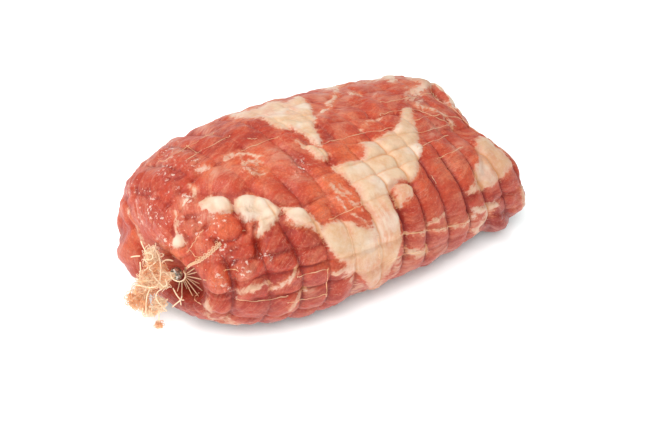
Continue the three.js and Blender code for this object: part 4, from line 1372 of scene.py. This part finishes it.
def tail_material():
    n = Nodes("frayed_net")
    place = n.position()
    tint = n.add(n.attribute("tint"), n.swing(n.noise(place, 130.0, 3.0), 1.2))
    colour = n.mix(n.step(tint, 0.1, 0.9), TAIL_PEACH, TAIL_CREAM)
    n.set(Base_Color=colour, Roughness=0.65, Normal=n.bump(n.noise(place, 1500.0, 2.0), 0.4, 0.0002))
    n.set(Emission_Color=colour, Emission_Strength=TAIL_GLOW)
    n.set(Subsurface_Weight=0.4, Subsurface_Scale=0.003, Subsurface_Radius=(1.0, 0.75, 0.5))
    return n.material


def clip_material():
    n = Nodes("clip_metal")
    grime = n.noise(n.position(), 700.0, 4.0, 0.6)
    colour = n.mix(n.step(grime, 0.42, 0.6), METAL_PALE, METAL_DARK)
    n.set(Base_Color=colour, Metallic=0.9, Roughness=n.step(grime, 0.3, 0.7, 0.22, 0.45))
    n.set(Normal=n.bump(grime, 0.25, 0.0004))
    return n.material


def floor_material():
    n = Nodes("pale_floor")
    n.set(Base_Color=FLOOR_PALE, Roughness=0.9, Specular_IOR_Level=0.0)
    n.set(Emission_Color=(1.0, 1.0, 1.0), Emission_Strength=FLOOR_GLOW)
    return n.material


# ---------------------------------------------------------------- the net on the roll
THREAD_RADIUS = 0.3
THREAD_SIDES = 6
STRAND_STEPS = 8  # steps of a strand, and of a hoop, in each cell
HOOP_STEPS = 6
FREE_SPAN = 0.85  # how far from the far clip the strands leave the meat and run straight to it, in rings
SUNK = -0.5  # how far under the skin a thread lies where the meat has closed over it
PROUD = 0.1  # how far over the skin it lies at most, on the sides that the photograph doesn't show

# The strands end in a small circle just short of the far clip's mouth.
MOUTH_RADIUS = 1.5
MOUTH_GAP = 0.4

# What threads that lie open carry for the material: the fat by them, and how clean of blood they are.
BRAID_VALUES = (1.0, 0.9)
FRILL_VALUES = (1.0, 0.7)
FAN_VALUES = (1.0, 0.75)
BARE_VALUES = (1.0, 0.65)

BARE_WAVE = 0.35  # pixels by which the bare threads stray from their lines
BARE_HEIGHT = 0.05  # mm over the skin
BARE_RADII = (0.2, 0.08)  # their mean radius and how much it changes

# The braided edge: how many threads wind round each other, how often, and how far aside and up in mm.
BRAID_THREADS = 3
BRAID_TURNS = 8
BRAID_SWING = 0.95
BRAID_RISE = 0.5
BRAID_RADIUS = 0.32
FRILL_RADIUS = 0.24
BRAID_JOIN = 24  # steps over which it comes down from the clip onto the meat


def thread_height(skin, ring, strand, number):
    """How high a thread lies over the skin: closed over where the photograph shows none, else winding."""
    _, _, beyond = skin.on_surface(ring, strand)
    winding = 0.5 + 0.5 * np.sin(ring * 2.3 + strand * 1.9 + number * 1.7)
    return SUNK + (PROUD - SUNK) * winding * smoothstep(beyond, 2, 14)


def add_braid(threads, skin):
    """The net's braided edge across the near end, and the strands that fan over the hollow by the clip."""
    spine = soft_path(skin.under_pixels(soft_path(BRAID, 24), 1.0), 90)
    rise_to_clip = at_depth(*BRAID[0], 4.0) - spine[0]
    spine[:BRAID_JOIN] += np.linspace(1, 0, BRAID_JOIN)[:, None] * rise_to_clip
    side = unit(np.cross(np.gradient(spine, axis=0), CAMERA_FORWARD))
    turn = np.linspace(0, BRAID_TURNS * 2 * math.pi, len(spine))
    grow = np.linspace(0.5, 1.0, len(spine))
    for part in range(BRAID_THREADS):
        swing = np.sin(turn + part * 2 * math.pi / BRAID_THREADS) * grow
        rise = np.cos(turn + part * 2 * math.pi / BRAID_THREADS) * grow
        path = spine + BRAID_SWING * swing[:, None] * side - BRAID_RISE * rise[:, None] * CAMERA_FORWARD
        threads.add(path, BRAID_RADIUS, THREAD_SIDES, BRAID_VALUES)
    frill = spine[40:80:2] + side[40:80:2] * np.resize([0.6, 2.4, 1.2], 20)[:, None]
    threads.add(soft_path(frill, 70), FRILL_RADIUS, 5, FRILL_VALUES)
    for (x0, y0), (x1, y1) in FAN_STRANDS:
        root = at_depth(x0, y0, -1.5)
        tip = skin.under_pixels([(x1, y1)], 0.2)[0]
        share = np.linspace(0, 1, 12)[:, None]
        path = root * (1 - share) + tip * share
        threads.add(path, THREAD_RADIUS, THREAD_SIDES, FAN_VALUES)


def add_strands(threads, skin):
    """The net's strands along the roll, from the near end's collar to the far clip."""
    ring = np.linspace(0, LAST_RING, LAST_RING * STRAND_STEPS + 1)
    away = LAST_RING - ring
    free = away < FREE_SPAN
    share = (away[free] / FREE_SPAN)[:, None]
    for strand in range(STRAND_COUNT):
        column = np.full(len(ring), float(strand))
        path, fat, _ = skin.on_surface(ring, column, thread_height(skin, ring, column, strand)[:, None])
        turn = STRAND_ANGLES[strand]
        round_mouth = (MOUTH_RADIUS * math.cos(turn), MOUTH_RADIUS * math.sin(turn))
        mouth = CLIP_FAR + np.array([-CLIP_LENGTH / 2 - MOUTH_GAP, *round_mouth])
        anchor = path[np.argmin(np.abs(away - FREE_SPAN))]
        path[free] = mouth * (1 - share) + anchor * share
        clean = 0.35 + 0.35 * np.sin(ring * 1.3 + strand * 2.1)
        radius = THREAD_RADIUS * (1 + 0.2 * np.sin(ring * 9 + strand))
        threads.add(path, radius, THREAD_SIDES, np.stack([fat, clean], -1))


def add_hoops(threads, skin):
    """The net's closed rings round the roll and over its ends."""
    strand = np.arange(STRAND_COUNT * HOOP_STEPS) / HOOP_STEPS
    for hoop in range(1, LAST_RING):
        row = np.full(len(strand), float(hoop))
        path, fat, _ = skin.on_surface(row, strand, thread_height(skin, row, strand, hoop)[:, None])
        clean = 0.1 + 0.2 * np.sin(strand * 1.7 + hoop)
        threads.add(path, THREAD_RADIUS, THREAD_SIDES, np.stack([fat, clean], -1), closed=True)


def add_bare_threads(threads, skin):
    """The stretches of thread that the photograph shows, on the skin and slightly wavy."""
    for number, pixels in enumerate(BARE_THREADS.values()):
        dense = soft_path(pixels, 9 * len(pixels))
        wave = np.sin(np.arange(len(dense)) * 0.9 + number)
        path = skin.under_pixels(dense + BARE_WAVE * wave[:, None], BARE_HEIGHT)
        path = soft_path(path, 18 * len(pixels))
        worn = BARE_RADII[0] + BARE_RADII[1] * np.sin(np.arange(len(path)) * 0.37 + 2 * number)
        threads.add(path, worn, THREAD_SIDES, BARE_VALUES)


def build_net(skin):
    threads = Strands()
    add_strands(threads, skin)
    add_hoops(threads, skin)
    add_bare_threads(threads, skin)
    add_braid(threads, skin)
    net = threads.build("roast_net", ("fat", "clean"))
    net.data.materials.append(net_material())
    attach(net, "root")
    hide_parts("roasting_net")


# ---------------------------------------------------------------- the frayed tails
# The clumps of frayed net by the near clip: the middle's pixel (x, y), how much nearer than the clip it
# is in mm, half sizes across, up and deep in mm, the count of threads and the tint.
NEAR_CLUMPS = [
    ((162, 270), 0, (5, 5, 3), 80, 0.3),
    ((152, 256), 1, (6, 8, 3), 90, 0.95),
    ((153, 268), 2, (7, 4, 4), 90, 0.25),
    ((150, 280), 2, (9, 7, 5), 200, 0.55),
    ((163, 283), 2, (4, 4, 3), 80, 0.85),
    ((144, 290), -3, (9, 6, 5), 150, 0.45),
    ((137, 299), -8, (7.5, 6.5, 4), 170, 0.4),
    ((145, 306), -3, (2.5, 6, 3), 60, 0.3),
    ((159, 304), 0, (5, 5, 3), 100, 0.8),
    ((152, 312), -2, (5, 2.5, 2), 50, 0.7),
    ((159, 325), -2, (1.3, 1.3, 1.3), 40, 0.3),
]

# Single curled threads of the tuft, as pixels (x, y) and how much nearer than the clip each is.
NEAR_CURLS = [
    [(171, 273, 3), (171, 277, 4), (175, 281, 5), (181, 282, 5), (185, 279, 5), (186, 275, 4), (184, 271, 3)],
    [(153, 246, 2), (157, 251, 3), (160, 258, 4), (161, 270, 5), (160, 280, 5), (160, 286, 4)],
    [(136, 285, 2), (143, 286, 5), (150, 288, 6), (156, 287, 6), (160, 282, 5)],
    [(152, 272, 5), (154, 277, 6), (158, 281, 6), (161, 284, 5)],
    [(141, 241, 1), (143, 247, 2), (147, 253, 3), (149, 260, 3)],
    [(140, 262, 1), (141, 270, 2), (139, 277, 2)],
    [(143, 259, 3), (148, 262, 4), (149, 268, 4), (144, 271, 3)],
    [(131, 257, 0), (135, 256, 1), (140, 256, 1)],
    [(162, 289, 5), (158, 291, 5), (155, 296, 5), (158, 302, 4), (163, 307, 3), (167, 311, 2)],
    [(150, 288, 4), (147, 295, 3), (146, 303, 1), (146, 313, 0)],
    [(162, 264, 4), (163, 261, 4), (168, 259, 4), (173, 261, 3)],
    [(173, 288, 2), (176, 294, 2), (180, 300, 2), (184, 300, 1)],
    [(172, 307, 2), (177, 303, 2), (181, 300, 2), (182, 296, 2)],
    [(180, 299, 2), (181, 305, 1)],
    [(143, 308, 1), (142, 313, 0), (144, 317, 0), (147, 316, 0)],
    [(152, 308, 1), (151, 314, 0), (155, 317, 0)],
    [(158, 308, 1), (159, 314, 0), (159, 318, -1), (159, 323, -2)],
    [(132, 288, -5), (129, 295, -8), (129, 303, -8), (134, 308, -8)],
    [(145, 254, 4), (150, 252, 5), (154, 256, 5), (151, 261, 5), (146, 259, 4)],
    [(156, 262, 5), (152, 265, 5), (148, 268, 5), (152, 271, 5)],
    [(165, 279, 5), (168, 284, 5), (164, 288, 5), (161, 284, 5)],
]

# The far tail's clumps: the middle's place from the far clip, half sizes, the count of threads, the tint.
FAR_CLUMPS = [
    ((5, 1, -3), (3, 4, 5), 60, 0.5),
    ((7, 3, -10), (3, 6, 6), 70, 0.6),
]

BUNDLE_THREADS = 9
ROOTED_CLUMPS = 6  # at most so many of a tail's clumps have threads that come from the clip's mouth
CURL_STEPS = 18
CURL_SIDES = 4
CURL_RADII = [0.16, 0.22, 0.34]
CURL_SHARES = [0.5, 0.35, 0.15]  # how much of a clump each radius makes up
LONE_CURL_RADIUS = 0.42


def curl_clump(threads, middle, axes, count, tint):
    """Many fine threads that curl about in a clump, whose half sizes are the lengths of its axes."""
    for _ in range(count):
        spot = RANDOM.normal(0, 1, 3)
        spot *= RANDOM.uniform(0.2, 0.85) / np.linalg.norm(spot)
        drift = RANDOM.normal(0, 0.35, 3)
        first, second = RANDOM.normal(0, 1, (2, 3))
        loop = RANDOM.uniform(0.6, 2.4)
        t = np.linspace(0, 1, CURL_STEPS)[:, None]
        turn = 2 * math.pi * (RANDOM.uniform(0.5, 1.8) * t + RANDOM.random())
        path = middle + (spot + drift * (t - 0.5)) @ axes
        path = path + loop * (np.cos(turn) * unit(first) + np.sin(turn) * unit(second))
        path = path + 0.4 * np.sin(9 * t + RANDOM.uniform(0, 6, 3))
        radius = RANDOM.choice(CURL_RADII, p=CURL_SHARES)
        shade = np.clip(tint + RANDOM.normal(0, 0.22), 0, 1)
        threads.add(path, radius, CURL_SIDES, [shade])


def root_threads(threads, clip, out, goal):
    """A bundle of threads that leave the clip's mouth towards a place."""
    mouth = clip + np.array([out * CLIP_LENGTH * 0.3, 0, 0])
    for _ in range(BUNDLE_THREADS):
        start = mouth + RANDOM.normal(0, 0.8, 3) * (0, 1, 1)
        leave = mouth + np.array([out * 5, 0, 0]) + RANDOM.normal(0, 1.2, 3)
        path = soft_path([start, leave, (leave + goal) / 2 + RANDOM.normal(0, 1, 3), goal], 24)
        threads.add(path, RANDOM.uniform(0.2, 0.34), 5, [RANDOM.uniform(0.3, 0.9)])


def build_tail(name, node, clip, out, axes, clumps, curls):
    """A frayed tail: clumps of fine curls, threads from the clip's mouth into them, and lone curls."""
    threads = Strands()
    for middle, sizes, count, tint in clumps:
        curl_clump(threads, middle, axes * np.array(sizes)[:, None], count, tint)
    for middle, *_ in clumps[:ROOTED_CLUMPS]:
        root_threads(threads, clip, out, middle)
    for curl in curls:
        threads.add(soft_path(curl, 12 * len(curl)), LONE_CURL_RADIUS, THREAD_SIDES, [0.95])
    tail = threads.build(name, ("tint",))
    tail.data.materials.append(tail_material())
    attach(tail, "root")
    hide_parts(node)


def build_near_tail():
    axes = np.stack([CAMERA_RIGHT, CAMERA_UP, CAMERA_FORWARD])
    clumps = [(at_depth(*pixel, nearer), *rest) for pixel, nearer, *rest in NEAR_CLUMPS]
    curls = [[at_depth(*place) for place in curl] for curl in NEAR_CURLS]
    build_tail("frayed_tail_near", "net_tail_near", CLIP_NEAR, -1, axes, clumps, curls)


def build_far_tail():
    clumps = [(CLIP_FAR + away, *rest) for away, *rest in FAR_CLUMPS]
    build_tail("frayed_tail_far", "net_tail_far", CLIP_FAR, 1, np.eye(3), clumps, [])


# ---------------------------------------------------------------- the build
skin = Skin()
meat = skin.build()
meat.data.materials.append(meat_material())
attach(meat, "root")
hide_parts("pork_neck")

build_net(skin)
build_near_tail()
build_far_tail()
for clip_name in ("clip_near", "clip_far"):
    clip_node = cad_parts[clip_name]
    clip_node.data.materials.clear()
    clip_node.data.materials.append(clip_material())

# ---------------------------------------------------------------- floor, light and camera
# The floor's half side, and how far it lies under the meat's flat underside, in metres.
FLOOR_REACH = 4.0
FLOOR_DROP = 0.0002
WORLD_LIGHT = 0.5

# The lights over the meat, in metres and watts: place, what each is aimed at, its side and its power.
MEAT_LIGHTS = {
    "top_softbox": ((-0.45, 0.45, 1.3), (0, 0, 0.05), 0.7, 7.2),
    "left_softbox": ((-1.2, -0.3, 0.9), (-0.05, 0, 0.05), 0.5, 2),
    "right_softbox": ((0.9, -1.1, 0.6), (0.05, 0, 0.05), 0.7, 1.2),
    "sparkle_0": ((-0.6, -0.5, 1.2), (-0.08, -0.02, 0.05), 0.05, 1.6),
    "sparkle_1": ((-0.9, 0.3, 0.8), (-0.08, -0.02, 0.05), 0.05, 1.6),
    "sparkle_2": ((0.1, -0.8, 1.2), (-0.08, -0.02, 0.05), 0.05, 1.6),
}

# A wash from the front left that lights the floor alone, as a white sweep is lit brighter than the meat.
FLOOR_WASH = ((-0.95, -1.15, 1.42), (0, 0, 0), 0.9, 51)


def add_to_scene(name, data):
    obj = bpy.data.objects.new(name, data)
    bpy.context.scene.collection.objects.link(obj)
    return obj


def make_floor():
    mesh = bpy.data.meshes.new("floor")
    corners = [(x * FLOOR_REACH, y * FLOOR_REACH, 0) for x, y in ((-1, -1), (1, -1), (1, 1), (-1, 1))]
    mesh.from_pydata(corners, [], [(0, 1, 2, 3)])
    floor = add_to_scene("floor", mesh)
    floor.data.materials.append(floor_material())
    floor.location.z = -FLOOR_DROP
    return floor


def area_light(name, place, target, side, power):
    light = bpy.data.lights.new(name, "AREA")
    light.shape = "RECTANGLE"
    light.size = side
    light.size_y = side
    light.energy = power
    obj = add_to_scene(name, light)
    obj.location = place
    obj.rotation_euler = (Vector(target) - Vector(place)).to_track_quat("-Z", "Y").to_euler()
    return obj


def light_scene(floor):
    world = bpy.data.worlds.new("studio")
    bpy.context.scene.world = world
    world.use_nodes = True
    background = world.node_tree.nodes["Background"]
    background.inputs["Color"].default_value = (1, 1, 1, 1)
    background.inputs["Strength"].default_value = WORLD_LIGHT
    for name, light in MEAT_LIGHTS.items():
        area_light(name, *light)
    floor_wash = area_light("floor_wash", *FLOOR_WASH)
    floor_only = bpy.data.collections.new("floor_only")
    floor_only.objects.link(floor)
    floor_wash.light_linking.receiver_collection = floor_only


def place_camera():
    data = bpy.data.cameras.new("camera")
    data.sensor_width = SENSOR_WIDTH
    data.lens = FOCAL_PIXELS / IMAGE_WIDTH * SENSOR_WIDTH
    data.clip_end = 20
    camera = add_to_scene("camera", data)
    camera.location = to_row(CAMERA_PLACE)
    camera.rotation_euler = Vector(CAMERA_FORWARD).to_track_quat("-Z", "Y").to_euler()
    bpy.context.scene.camera = camera
    bpy.context.scene.view_settings.view_transform = "Standard"


floor = make_floor()
light_scene(floor)
place_camera()
